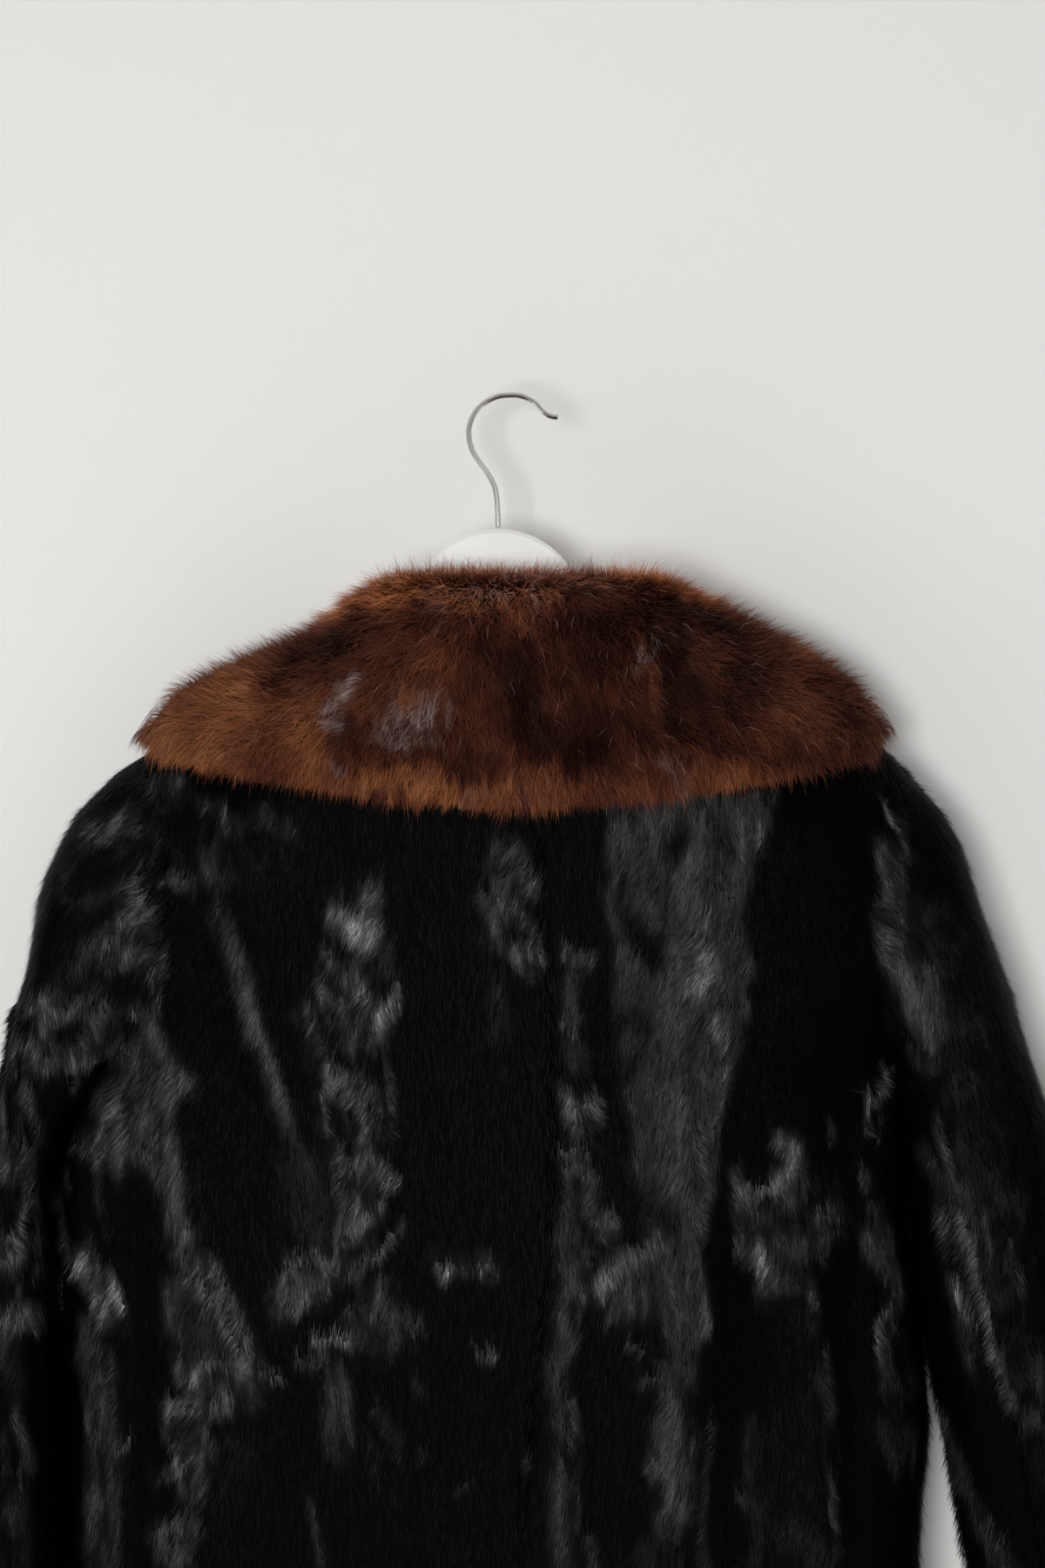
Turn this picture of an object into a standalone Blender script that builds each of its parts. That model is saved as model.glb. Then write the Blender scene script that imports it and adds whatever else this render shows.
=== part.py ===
"""A fur coat with a wide mink collar, hanging on a hanger, seen from its back at -Y.

The frame is metres, +Z up. The origin is the underside of the hook's top, where
the hook bears on what holds it. +X is the wearer's right and +Y is the wearer's
front. "down" in the tables is the distance below the origin, and "x" is measured
from the coat's centre plane, which lies CENTRE_X right of the hook.
"""

import math

import bpy
import numpy as np
from mathutils.kdtree import KDTree

# ---------------------------------------------------------------- sizes (metres)
CENTRE_X = 0.007  # the coat's centre plane, from the hook's bearing point
WALL = 0.004  # skin, lining and flat short pile of the body and sleeves
PILE = 0.0135  # skin and dense mink pile of the collar
SEAM_GAP = 0.0003  # between pieces at a seam
HEM_DOWN = 1.080  # hem below the hook
SHOULDER_DROP = 0.090  # height in which back and front reach their full depth
RIDGE_ROUND = 2.2  # roundness of the shoulder's ridge
NECK_X = 0.085  # half the neck's width at the shoulder seams
NECK_DOWN = 0.1430  # the shoulder seams' neck ends
NECK_BACK_DOWN = 0.172  # the neckline at the centre back
NECK_FRONT_DOWN = 0.236  # the neckline at the centre front
LAP = 0.035  # each front runs this far past the centre front
LAP_LIFT = 0.0062  # the upper front lies this far out from the lower one
LAP_EASE = 0.120  # and comes back to the body's form at this x

FOLD_RADIUS = 0.0035  # skin radius at the collar's roll line
COLLAR_LIFT = 0.0030  # between the collar's skin and what it lies on
COLLAR_TIP_PILE = 0.0120  # pile thickness at its tips over the sleeves
COLLAR_EDGE = 0.0050  # pile thickness at the collar's outer edge

HANGER_X = -0.0057  # the hanger's centre, from the hook's bearing point
HANGER_HALF_THICK = 0.0060
HUMP_RADIUS = 0.052
HUMP_TOP_DOWN = 0.0789
HANGER_ARM = 0.188  # half the hanger's span
HANGER_UNDER = 0.0082  # the arms' top below the shoulder's ridge
HANGER_NECK_UNDER = 0.0038  # and further below beside the neck
WIRE_RADIUS = 0.0018

# The body's level sections: half widths left and right, depths back and front,
# and how square the section is (2 is an ellipse).
BODY = (
    # down, left, right, back, front, square
    (0.100, 0.255, 0.250, 0.068, 0.052, 2.7),
    (0.215, 0.255, 0.250, 0.074, 0.055, 2.7),
    (0.300, 0.255, 0.249, 0.077, 0.057, 2.7),
    (0.350, 0.252, 0.240, 0.078, 0.058, 2.8),
    (0.398, 0.2430, 0.2170, 0.079, 0.058, 2.8),
    (0.430, 0.2640, 0.2270, 0.080, 0.058, 2.8),
    (0.460, 0.2695, 0.2283, 0.080, 0.058, 2.8),
    (0.495, 0.2715, 0.2312, 0.080, 0.057, 2.8),
    (0.551, 0.2712, 0.2382, 0.079, 0.057, 2.8),
    (0.615, 0.2698, 0.2438, 0.078, 0.057, 2.8),
    (0.670, 0.2692, 0.2405, 0.078, 0.058, 2.8),
    (0.760, 0.2697, 0.2385, 0.080, 0.059, 2.7),
    (0.900, 0.2740, 0.2480, 0.085, 0.061, 2.6),
    (1.100, 0.2840, 0.2620, 0.092, 0.064, 2.5),
)
BODY_COLUMNS = ("down", "left", "right", "back", "front", "square")

# The centre back seam wanders a little from side to side as the coat hangs.
BACK_SEAM = (
    # down, x
    (0.100, 0.000),
    (0.160, 0.000),
    (0.190, 0.001),
    (0.260, 0.012),
    (0.350, 0.017),
    (0.440, 0.020),
    (0.520, 0.017),
    (0.580, 0.009),
    (0.640, 0.003),
    (0.760, 0.004),
    (1.100, 0.002),
)

# The shoulder's ridge, out from the neck's end of the seam and over the sleeve head.
RIDGE = (
    # x, down
    (0.000, 0.112),
    (0.040, 0.121),
    (0.085, 0.1430),
    (0.150, 0.1720),
    (0.200, 0.1965),
    (0.222, 0.2100),
    (0.242, 0.2260),
    (0.258, 0.2460),
    (0.270, 0.2740),
)

# Soft drape folds: a run from one point to another, its half width and how far it
# stands out (or sinks, when negative).
FOLDS = (
    # face, x1, down1, x2, down2, half_width, out
    ("back", -0.178, 0.285, -0.128, 0.432, 0.013, 0.0055),
    ("back", -0.150, 0.285, -0.100, 0.420, 0.016, -0.0030),
    ("back", 0.190, 0.400, 0.196, 0.690, 0.009, -0.0085),
    ("back", 0.196, 0.690, 0.214, 1.120, 0.013, -0.0085),
    ("back", -0.190, 0.500, -0.192, 0.720, 0.012, 0.0050),
    ("back", -0.223, 0.460, -0.222, 0.740, 0.011, -0.0060),
    ("back", 0.092, 0.380, 0.088, 0.660, 0.026, 0.0050),
    ("back", 0.142, 0.430, 0.146, 0.700, 0.024, -0.0050),
    ("back", -0.038, 0.270, -0.040, 0.700, 0.028, -0.0040),
    ("back", -0.098, 0.370, -0.102, 0.560, 0.020, 0.0040),
    ("back", -0.120, 0.740, -0.132, 1.120, 0.030, -0.0090),
    ("back", 0.062, 0.720, 0.070, 1.120, 0.034, 0.0090),
    ("back", -0.040, 0.760, -0.048, 1.120, 0.030, 0.0080),
    ("back", -0.205, 0.740, -0.216, 1.120, 0.024, 0.0070),
    ("front", 0.165, 0.400, 0.180, 1.120, 0.016, -0.0075),
    ("front", -0.175, 0.420, -0.190, 1.120, 0.018, -0.0070),
    ("front", 0.110, 0.560, 0.120, 1.120, 0.028, 0.0065),
    ("front", -0.115, 0.500, -0.125, 1.120, 0.026, 0.0060),
    ("front", 0.150, 0.300, 0.105, 0.450, 0.014, 0.0040),
    ("front", -0.158, 0.290, -0.110, 0.440, 0.014, 0.0040),
)

# The sleeves as rings from the armhole to the cuff: the outer point, the inner
# (underarm) point and half the ring's thickness from back to front. The first row
# lies on the body, and its x gives the armhole's upper and lower ends.
SLEEVE_COLUMNS = ("out_x", "out_y", "out_down", "in_x", "in_y", "in_down", "half_y")
SLEEVE_RIGHT = (
    (0.2200, 0.000, 0.2100, 0.2170, 0.000, 0.3980, 0.052),
    (0.2350, 0.000, 0.2265, 0.2185, -0.001, 0.3975, 0.054),
    (0.2550, 0.000, 0.2485, 0.2207, -0.003, 0.4010, 0.057),
    (0.2680, 0.000, 0.2790, 0.2232, -0.005, 0.4060, 0.059),
    (0.2795, -0.001, 0.3140, 0.2257, -0.007, 0.4130, 0.060),
    (0.2930, -0.002, 0.3500, 0.2280, -0.009, 0.4230, 0.060),
    (0.3055, -0.003, 0.3950, 0.2298, -0.012, 0.4430, 0.060),
    (0.3220, -0.004, 0.4450, 0.2312, -0.015, 0.4750, 0.058),
    (0.3380, -0.005, 0.5050, 0.2370, -0.018, 0.5330, 0.056),
    (0.3525, -0.006, 0.5700, 0.2480, -0.020, 0.5980, 0.053),
    (0.3675, -0.006, 0.6350, 0.2590, -0.020, 0.6640, 0.050),
    (0.3810, -0.005, 0.7000, 0.2690, -0.018, 0.7290, 0.048),
    (0.3920, -0.004, 0.7600, 0.2780, -0.015, 0.7890, 0.047),
)
SLEEVE_LEFT = (
    (0.2260, 0.000, 0.2126, 0.2430, 0.000, 0.3980, 0.052),
    (0.2420, 0.000, 0.2240, 0.2450, 0.001, 0.3975, 0.054),
    (0.2600, 0.000, 0.2430, 0.2482, 0.002, 0.4010, 0.057),
    (0.2760, 0.000, 0.2690, 0.2520, 0.003, 0.4060, 0.059),
    (0.2865, -0.001, 0.3000, 0.2565, 0.004, 0.4130, 0.061),
    (0.2930, -0.002, 0.3380, 0.2620, 0.005, 0.4230, 0.062),
    (0.3050, -0.003, 0.3840, 0.2685, 0.006, 0.4430, 0.062),
    (0.3190, -0.004, 0.4380, 0.2735, 0.007, 0.4750, 0.060),
    (0.3370, -0.004, 0.5000, 0.2735, 0.008, 0.5330, 0.057),
    (0.3550, -0.004, 0.5650, 0.2720, 0.008, 0.5980, 0.054),
    (0.3710, -0.004, 0.6300, 0.2714, 0.006, 0.6640, 0.051),
    (0.3850, -0.003, 0.6950, 0.2725, 0.004, 0.7290, 0.048),
    (0.3960, -0.002, 0.7550, 0.2765, 0.002, 0.7890, 0.047),
)
ARMHOLE_SCOOP = {"right": 0.0085, "left": 0.0280}  # how far the armhole cuts in
# Where the sleeves' back and front seams run, in degrees round from the outer line.
# The first rows fall on corners of the armhole.
SLEEVE_SEAM = (
    # ring, right_back, left_back, front
    (0, 150.0, 150.0, 135.0),
    (1, 150.0, 150.0, 135.0),
    (4, 140.0, 138.0, 130.0),
    (7, 122.0, 130.0, 120.0),
    (9, 108.0, 138.0, 112.0),
    (10.5, 104.0, 140.0, 110.0),
    (12, 102.0, 128.0, 108.0),
)
SEAM_COLUMNS = ("ring", "right_back", "left_back", "front")
SLEEVE_SQUARE = 2.15
SLEEVE_EASE = 1.6  # rings over which the armhole's line turns into the sleeve's

# The collar, round from the centre back to the centre front: the roll line (its x,
# y and down) and the outer edge (its x and down, which then lies on the body).
COLLAR_COLUMNS = ("angle", "roll_x", "roll_y", "roll_down", "edge_x", "edge_y", "edge_down")
COLLAR = (
    (0, 0.0000, -0.0690, 0.1245, 0.0000, -0.078, 0.2490),
    (20, 0.0340, -0.0650, 0.1242, 0.0460, -0.076, 0.2465),
    (40, 0.0640, -0.0530, 0.1240, 0.0980, -0.072, 0.2410),
    (60, 0.0850, -0.0340, 0.1250, 0.1540, -0.062, 0.2320),
    (75, 0.0930, -0.0170, 0.1270, 0.2000, -0.040, 0.2200),
    (90, 0.0960, 0.0000, 0.1290, 0.2190, 0.000, 0.2075),
    (105, 0.0920, 0.0170, 0.1350, 0.2070, 0.034, 0.2260),
    (120, 0.0830, 0.0320, 0.1460, 0.1850, 0.050, 0.2560),
    (140, 0.0620, 0.0480, 0.1680, 0.1430, 0.062, 0.2990),
    (160, 0.0340, 0.0585, 0.1970, 0.0820, 0.068, 0.3280),
    (180, 0.0090, 0.0630, 0.2200, 0.0110, 0.070, 0.3320),
)
COLLAR_TIP_OUT = {"right": -0.002, "left": 0.009}  # the left tip reaches further
COLLAR_RISE = {"right": 1.5, "left": 0.30}  # how flat the fall leaves the roll line over a shoulder
COLLAR_TURN = {"right": 0.75, "left": 0.25}  # how far the tip turns down over the sleeve
FRONT_COLLAR_END = 0.0070  # the collar's ends stop this far from the centre front

HOOK = (
    # x, down of the wire's centreline, from the hanger up, round and out to the tip
    (-0.0057, 0.0772),
    (-0.0060, 0.0700),
    (-0.0065, 0.0605),
    (-0.0077, 0.0535),
    (-0.0109, 0.0470),
    (-0.0158, 0.0400),
    (-0.0207, 0.0326),
    (-0.0230, 0.0252),
    (-0.0232, 0.0180),
    (-0.0210, 0.0112),
    (-0.0165, 0.0050),
    (-0.0105, 0.0008),
    (-0.0040, -0.0015),
    (0.0000, -0.0018),
    (0.0060, -0.0018),
    (0.0112, -0.0003),
    (0.0164, 0.0028),
    (0.0207, 0.0075),
    (0.0259, 0.0108),
    (0.0300, 0.0114),
)

# Mesh fineness
BODY_ACROSS, NECK_ACROSS = 12, 5
ROWS_ABOVE, ROWS_BELOW = 12, 9
SLEEVE_RINGS = 17
FALL_ROWS = 6
HOOK_STEPS, HOOK_SIDES = 44, 10

# How panels are joined up: points this near are one, and which way each grid turns
SHARED_WITHIN = 0.0004
UNDERARM_SLOPE = 0.020
DIRECTION_EASES = 2
OUTWARD = {
    "back_left": 1,
    "back_right": -1,
    "front_left": -1,
    "front_right": 1,
    "sleeve_top_left": -1,
    "sleeve_top_right": 1,
    "sleeve_under_left": -1,
    "sleeve_under_right": 1,
}


# ---------------------------------------------------------------- curves and form
def column(table, names, name):
    return np.array([row[names.index(name)] for row in table], float)


def smooth(xs, ys, at):
    """A smooth curve through the rows of a table, read at some places."""
    xs, ys = np.asarray(xs, float), np.asarray(ys, float)
    at = np.clip(np.asarray(at, float), xs[0], xs[-1])
    slope = np.gradient(ys, xs)
    i = np.clip(np.searchsorted(xs, at) - 1, 0, len(xs) - 2)
    h = xs[i + 1] - xs[i]
    t = (at - xs[i]) / h
    return (
        (2 * t**3 - 3 * t**2 + 1) * ys[i]
        + (t**3 - 2 * t**2 + t) * h * slope[i]
        + (3 * t**2 - 2 * t**3) * ys[i + 1]
        + (t**3 - t**2) * h * slope[i + 1]
    )


def body_at(name, down):
    return smooth(column(BODY, BODY_COLUMNS, "down"), column(BODY, BODY_COLUMNS, name), down)


def ease(t):
    t = np.clip(t, 0, 1)
    return t * t * (3 - 2 * t)


def back_seam_x(down):
    return smooth([r[0] for r in BACK_SEAM], [r[1] for r in BACK_SEAM], down)


def ridge_down(x):
    return smooth([r[0] for r in RIDGE], [r[1] for r in RIDGE], np.abs(x))


def closing(x, down):
    """How far the form has opened below the shoulder's ridge: 0 on the ridge, 1 well below."""
    t = np.clip((down - ridge_down(x)) / SHOULDER_DROP, 0, 1)
    return (1 - (1 - t) ** RIDGE_ROUND) ** (1 / RIDGE_ROUND)


def folds(face, x, down):
    """How far the drape folds move a face out at x and down."""
    total = np.zeros_like(x * down)
    for where, x1, d1, x2, d2, half_width, out in FOLDS:
        if where != face:
            continue
        run = np.array([x2 - x1, d2 - d1])
        along = ((x - x1) * run[0] + (down - d1) * run[1]) / (run @ run)
        across = ((x - x1) * run[1] - (down - d1) * run[0]) / np.linalg.norm(run)
        fade = ease(np.minimum(along + 0.12, 1.12 - along) / 0.3)
        total = total + out * fade * np.exp(-((across / half_width) ** 2))
    return total


def face_y(face, x, down):
    """y of the body's outer face at x and down."""
    x, down = np.broadcast_arrays(np.asarray(x, float), np.asarray(down, float))
    half = np.where(x < 0, body_at("left", down), body_at("right", down))
    n = body_at("square", down)
    share = np.clip(np.abs(x) / half, 0, 1)
    round_it = (1 - share**n) ** (1 / n)
    depth = body_at(face, down)
    reach = (depth + folds(face, x, down) * round_it) * round_it * closing(x, down)
    return -reach if face == "back" else reach


class Section:
    """Level sections of one quarter of the body, measured by length along the cloth."""

    DOWNS = np.linspace(0.100, 1.100, 126)
    SHARES = np.linspace(0, 1, 81)

    def __init__(self, face, side, start_x):
        self.face, self.side = face, side
        self.sign = 1.0 if side == "right" else -1.0
        self.x = np.zeros((len(self.DOWNS), len(self.SHARES)))
        self.round = np.zeros_like(self.x)
        for k, down in enumerate(self.DOWNS):
            half, depth = float(body_at(side, down)), float(body_at(face, down))
            n = float(body_at("square", down))
            first = float(start_x(down)) * self.sign
            other = float(body_at("left" if side == "right" else "right", down))
            start = math.asin(min(1.0, (abs(first) / (half if first > 0 else other)) ** (n / 2)))
            angle = np.linspace(start if first > 0 else -start, math.pi / 2, 400)
            width = np.where(angle < 0, other, half)
            x = np.sign(angle) * width * np.abs(np.sin(angle)) ** (2 / n)
            round_it = np.abs(np.cos(angle)) ** (2 / n)
            y = depth * round_it
            length = np.concatenate([[0], np.cumsum(np.hypot(np.diff(x), np.diff(y)))])
            self.x[k] = np.interp(self.SHARES * length[-1], length, x)
            self.round[k] = np.interp(self.SHARES * length[-1], length, round_it)

    def _read(self, table, share, down):
        i = np.clip((down - self.DOWNS[0]) / (self.DOWNS[1] - self.DOWNS[0]), 0, len(self.DOWNS) - 1.001)
        j = np.clip(share * (len(self.SHARES) - 1), 0, len(self.SHARES) - 1.001)
        a, b = i.astype(int), j.astype(int)
        u, v = i - a, j - b
        return (
            table[a, b] * (1 - u) * (1 - v)
            + table[a + 1, b] * u * (1 - v)
            + table[a, b + 1] * (1 - u) * v
            + table[a + 1, b + 1] * u * v
        )

    def share_of(self, x, down):
        """The share of the way round at which the section has this x."""
        found = []
        for one_x, one_down in zip(np.ravel(x), np.ravel(down)):
            line = self._read(self.x, self.SHARES, np.full(len(self.SHARES), one_down))
            found.append(np.interp(one_x * self.sign, line, self.SHARES))
        return np.array(found)

    def points(self, share, down):
        """Points of the outer face, x from the coat's centre plane."""
        share, down = np.asarray(share, float), np.asarray(down, float)
        x = self._read(self.x, share, down) * self.sign
        round_it = self._read(self.round, share, down)
        depth = body_at(self.face, down)
        reach = (depth + folds(self.face, x, down) * round_it) * round_it * closing(x, down)
        lift = 0.0
        if self.face == "front" and self.side == "right":
            lift = lap_lift(x, down)
        y = -reach if self.face == "back" else reach + lift
        return np.stack([x, y, -down], axis=-1)


def armhole(side, angle):
    """x and down of the armhole, round from the shoulder (0) to the underarm (pi)."""
    top_x, _, top_down, low_x, _, low_down, _ = (SLEEVE_RIGHT if side == "right" else SLEEVE_LEFT)[0]
    c = np.cos(angle)
    x = (top_x + low_x) / 2 + c * (top_x - low_x) / 2 - ARMHOLE_SCOOP[side] * np.sin(angle) ** 2
    down = (top_down + low_down) / 2 + c * (top_down - low_down) / 2
    return x * (1 if side == "right" else -1), down


def unit(v):
    return v / np.maximum(np.linalg.norm(v, axis=-1, keepdims=True), 1e-12)


def grid_normals(points, row, toward):
    """Outward directions of a grid of points; in the middle of that row they point toward."""
    along, across = np.gradient(points, axis=0), np.gradient(points, axis=1)
    n = unit(np.cross(along, across))
    return n if n[row, points.shape[1] // 2] @ np.asarray(toward, float) > 0 else -n


# ---------------------------------------------------------------- making objects
def finish(name, colour, roughness, metallic=0.0):
    made = bpy.data.materials.get(name)
    if made is None:
        made = bpy.data.materials.new(name)
        made.use_nodes = True
        shader = made.node_tree.nodes["Principled BSDF"]
        shader.inputs["Base Color"].default_value = (*colour, 1.0)
        shader.inputs["Roughness"].default_value = roughness
        shader.inputs["Metallic"].default_value = metallic
        made.diffuse_color = (*colour, 1.0)
    return made


def new_object(name, points, faces, material, smooth_it=True):
    mesh = bpy.data.meshes.new(name)
    mesh.from_pydata([tuple(map(float, p)) for p in points], [], [tuple(map(int, f)) for f in faces])
    mesh.update()
    made = bpy.data.objects.new(name, mesh)
    made.data.materials.append(material)
    bpy.context.scene.collection.objects.link(made)
    if smooth_it:
        mesh.shade_smooth()
        mesh.set_sharp_from_angle(angle=math.radians(50))
    return made


def wall(name, outer, inner, material, parent):
    """A closed wall between two grids of points of the same size, the outer facing out."""
    rows, columns = outer.shape[:2]
    count = rows * columns
    points = np.concatenate([outer.reshape(-1, 3), inner.reshape(-1, 3)]).copy()
    points[:, 0] += CENTRE_X
    cell = np.arange(count).reshape(rows, columns)
    faces = []
    for i in range(rows - 1):
        for j in range(columns - 1):
            a, b, c, d = cell[i, j], cell[i, j + 1], cell[i + 1, j + 1], cell[i + 1, j]
            faces.append((a, b, c, d))
            faces.append((d + count, c + count, b + count, a + count))
    rim = (
        [cell[0, j] for j in range(columns)]
        + [cell[i, -1] for i in range(1, rows)]
        + [cell[-1, j] for j in range(columns - 2, -1, -1)]
        + [cell[i, 0] for i in range(rows - 2, 0, -1)]
    )
    # Both sides of a seam split their edge faces along the same diagonal.
    rank = points[:count] @ np.array([0.37, 0.11, 1.0])
    for k, a in enumerate(rim):
        b = rim[(k + 1) % len(rim)]
        if rank[a] > rank[b]:
            faces += [(b, a, b + count), (a, a + count, b + count)]
        else:
            faces += [(b, a, a + count), (b, a + count, b + count)]
    # The faces above turn one way round; the wall is turned if that is inwards.
    first, second = points[:count].reshape(rows, columns, 3), points[count:].reshape(rows, columns, 3)
    i, j = rows // 2, columns // 2
    turn = np.cross(first[i, j + 1] - first[i, j], first[i + 1, j] - first[i, j])
    if turn @ (first[i, j] - second[i, j]) < 0:
        faces = [tuple(reversed(f)) for f in faces]
    made = new_object(name, points, faces, material)
    made.parent = parent
    return made


# ---------------------------------------------------------------- body panels
def front_start(side):
    return lambda down: -LAP if side == "right" else LAP


def neckline_down(face, x):
    """The neckline's height across the neck."""
    share = np.clip(np.abs(x) / NECK_X, 0, 1)
    if face == "back":
        return NECK_DOWN + (NECK_BACK_DOWN - NECK_DOWN) * (1 - share**2.2) ** (1 / 1.6)
    return NECK_DOWN + (NECK_FRONT_DOWN - NECK_DOWN) * (1 - share**1.4) ** (1 / 1.15)


def lap_lift(x, down):
    """How far the upper front stands out from the body's form to clear the lower one."""
    return LAP_LIFT * ease((LAP_EASE - x) / (LAP_EASE - 0.045)) * ease((down - ridge_down(x)) / 0.07)


SECTIONS = {}


def section_of(face, side):
    """The quarter's level sections, worked out once."""
    if (face, side) not in SECTIONS:
        start = back_seam_x if face == "back" else front_start(side)
        SECTIONS[face, side] = Section(face, side, start)
    return SECTIONS[face, side]


def armhole_edge(face, side):
    """The corners of a panel's armhole: their turn, share, distance down and points."""
    section = section_of(face, side)
    turn = np.pi * (np.arange(ROWS_ABOVE + 1) / ROWS_ABOVE)
    x, down = armhole(side, turn)
    share = section.share_of(x, down)
    share[-1] = 1.0
    return turn, share, down, section.points(share, down)


def neck_edge(face, side):
    """The corners of a panel's neckline, from its centre: their share, distance down and points."""
    section, sign = section_of(face, side), 1 if side == "right" else -1
    if face == "back":
        x = NECK_X * np.sin(np.pi / 2 * np.arange(NECK_ACROSS + 1) / NECK_ACROSS)
        x[0] = back_seam_x(float(neckline_down(face, 0.0))) * sign
    else:
        turn = np.pi / 2 * np.arange(NECK_ACROSS) / (NECK_ACROSS - 1)
        inward = FRONT_COLLAR_END + (NECK_X - FRONT_COLLAR_END) * np.sin(turn)
        x = np.concatenate([[-LAP], inward])
    down = neckline_down(face, np.maximum(x, 0))
    share = section.share_of(x * sign, down)
    share[0] = 0.0
    return x * sign, share, down, section.points(share, down)


def panel(face, side):
    """The outer points of a body panel: rows down from the neck and shoulder, columns out from its centre."""
    sign = 1 if side == "right" else -1
    section = section_of(face, side)
    rows = ROWS_ABOVE + ROWS_BELOW + 1
    # Down the centre line and down the armhole and side seam
    turn, arm_share, arm_d, arm_points = armhole_edge(face, side)
    neck_x, neck_share, neck_d, neck_points = neck_edge(face, side)
    top_centre, armpit = float(neck_d[0]), float(arm_d[-1])
    level = armpit + 0.012
    shares = (np.arange(ROWS_ABOVE + 1) / ROWS_ABOVE) ** 1.35
    below = (np.arange(1, ROWS_BELOW + 1) / ROWS_BELOW) ** 1.35
    centre_d = np.concatenate([top_centre + (level - top_centre) * shares, level + (HEM_DOWN - level) * below])
    side_d = np.concatenate([arm_d, armpit + (HEM_DOWN - armpit) * below])
    side_s = np.concatenate([arm_share, np.ones(ROWS_BELOW)])
    # Across the neckline and the shoulder seam
    shoulder_x = float(armhole(side, np.array([0.0]))[0][0])
    ridge_x = np.linspace(sign * NECK_X, shoulder_x, BODY_ACROSS - NECK_ACROSS + 1)[1:]
    top_x = np.concatenate([neck_x, ridge_x])
    top_d = np.concatenate([neck_d, ridge_down(ridge_x)])
    top_s = np.concatenate([neck_share, section.share_of(ridge_x, top_d[NECK_ACROSS + 1 :])])
    top_s[-1], top_d[-1] = side_s[0], side_d[0]
    u = np.arange(BODY_ACROSS + 1) / BODY_ACROSS
    v = (centre_d - centre_d[0]) / (centre_d[-1] - centre_d[0])
    share, down = np.zeros((rows, len(u))), np.zeros((rows, len(u)))
    for grid, centre, edge, top, bottom in (
        (share, np.zeros(rows), side_s, top_s, u),
        (down, centre_d, side_d, top_d, np.full(len(u), HEM_DOWN)),
    ):
        for i in range(rows):
            flat = (1 - u) * centre[i] + u * edge[i]
            bend_top = top - ((1 - u) * centre[0] + u * edge[0])
            bend_low = bottom - ((1 - u) * centre[-1] + u * edge[-1])
            grid[i] = flat + (1 - v[i]) ** 3 * bend_top + v[i] * bend_low
    # Rows leave the underarm sloping down, half way between armhole and side seam.
    i = np.arange(rows)
    near = np.where(i <= ROWS_ABOVE, i / ROWS_ABOVE, (rows - 1 - i) / ROWS_BELOW) ** 2
    down += UNDERARM_SLOPE * near[:, None] * (1 - u**14)[None]
    return section.points(share, down)


# ---------------------------------------------------------------- sleeves
def sleeve_table(side):
    return SLEEVE_RIGHT if side == "right" else SLEEVE_LEFT


def armhole_loop(side, angle):
    """The armhole's points round from its outer line, back first, read between the corners."""
    turn, _, _, back = armhole_edge("back", side)
    front = armhole_edge("front", side)[3]
    back, front = back.copy(), front.copy()
    for k in (0, -1):
        back[k] = front[k] = (back[k] + front[k]) / 2
    loop = np.concatenate([back, front[-2::-1]])
    turns = np.concatenate([turn, 2 * math.pi - turn[-2::-1]])
    at = np.mod(angle, 2 * math.pi)
    return np.stack([np.interp(at, turns, loop[:, k]) for k in range(3)], axis=-1)


def sleeve_ring(side, ring, angle):
    """Points of one ring of a sleeve. ring counts rows of the table and may lie between two."""
    table, sign = sleeve_table(side), 1 if side == "right" else -1
    rows = np.arange(len(table))
    value = {
        name: float(smooth(rows, column(table, SLEEVE_COLUMNS, name), ring)) for name in SLEEVE_COLUMNS
    }
    c, s = np.cos(angle), np.sin(angle)
    round_c = np.sign(c) * np.abs(c) ** (2 / SLEEVE_SQUARE)
    round_s = np.sign(s) * np.abs(s) ** (2 / SLEEVE_SQUARE)
    mid = [(value["out_" + k] + value["in_" + k]) / 2 for k in ("x", "y", "down")]
    half = [(value["out_" + k] - value["in_" + k]) / 2 for k in ("x", "y", "down")]
    scoop = ARMHOLE_SCOOP[side] * max(0.0, 1 - ring / 2.5) ** 2 * s**2
    x = mid[0] + half[0] * round_c - scoop
    y = mid[1] + half[1] * round_c - value["half_y"] * round_s
    down = mid[2] + half[2] * round_c
    full = np.stack([x * sign, y, -down], axis=-1)
    # Near the armhole the ring turns into the armhole's own line.
    near = 1 - ease(ring / SLEEVE_EASE)
    return full + (armhole_loop(side, angle) - full) * near if near > 0 else full


def sleeve(side):
    """The outer points of the top and the under sleeve: rows from armhole to cuff, columns round."""
    rings = np.concatenate([[0.0, 0.6, 1.2, 1.8], np.linspace(2.5, 12.0, SLEEVE_RINGS - 4)])
    at = column(SLEEVE_SEAM, SEAM_COLUMNS, "ring")
    back_seam = smooth(at, column(SLEEVE_SEAM, SEAM_COLUMNS, f"{side}_back"), rings)
    front_seam = smooth(at, column(SLEEVE_SEAM, SEAM_COLUMNS, "front"), rings)
    step = 180.0 / ROWS_ABOVE
    made = []
    for first, last in ((-front_seam, back_seam), (back_seam, 360.0 - front_seam)):
        across = int(round((last[0] - first[0]) / step))
        rows = [
            sleeve_ring(side, ring, np.linspace(a, b, across + 1))
            for ring, a, b in zip(rings, np.radians(first), np.radians(last))
        ]
        made.append(np.array(rows))
    return made


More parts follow.
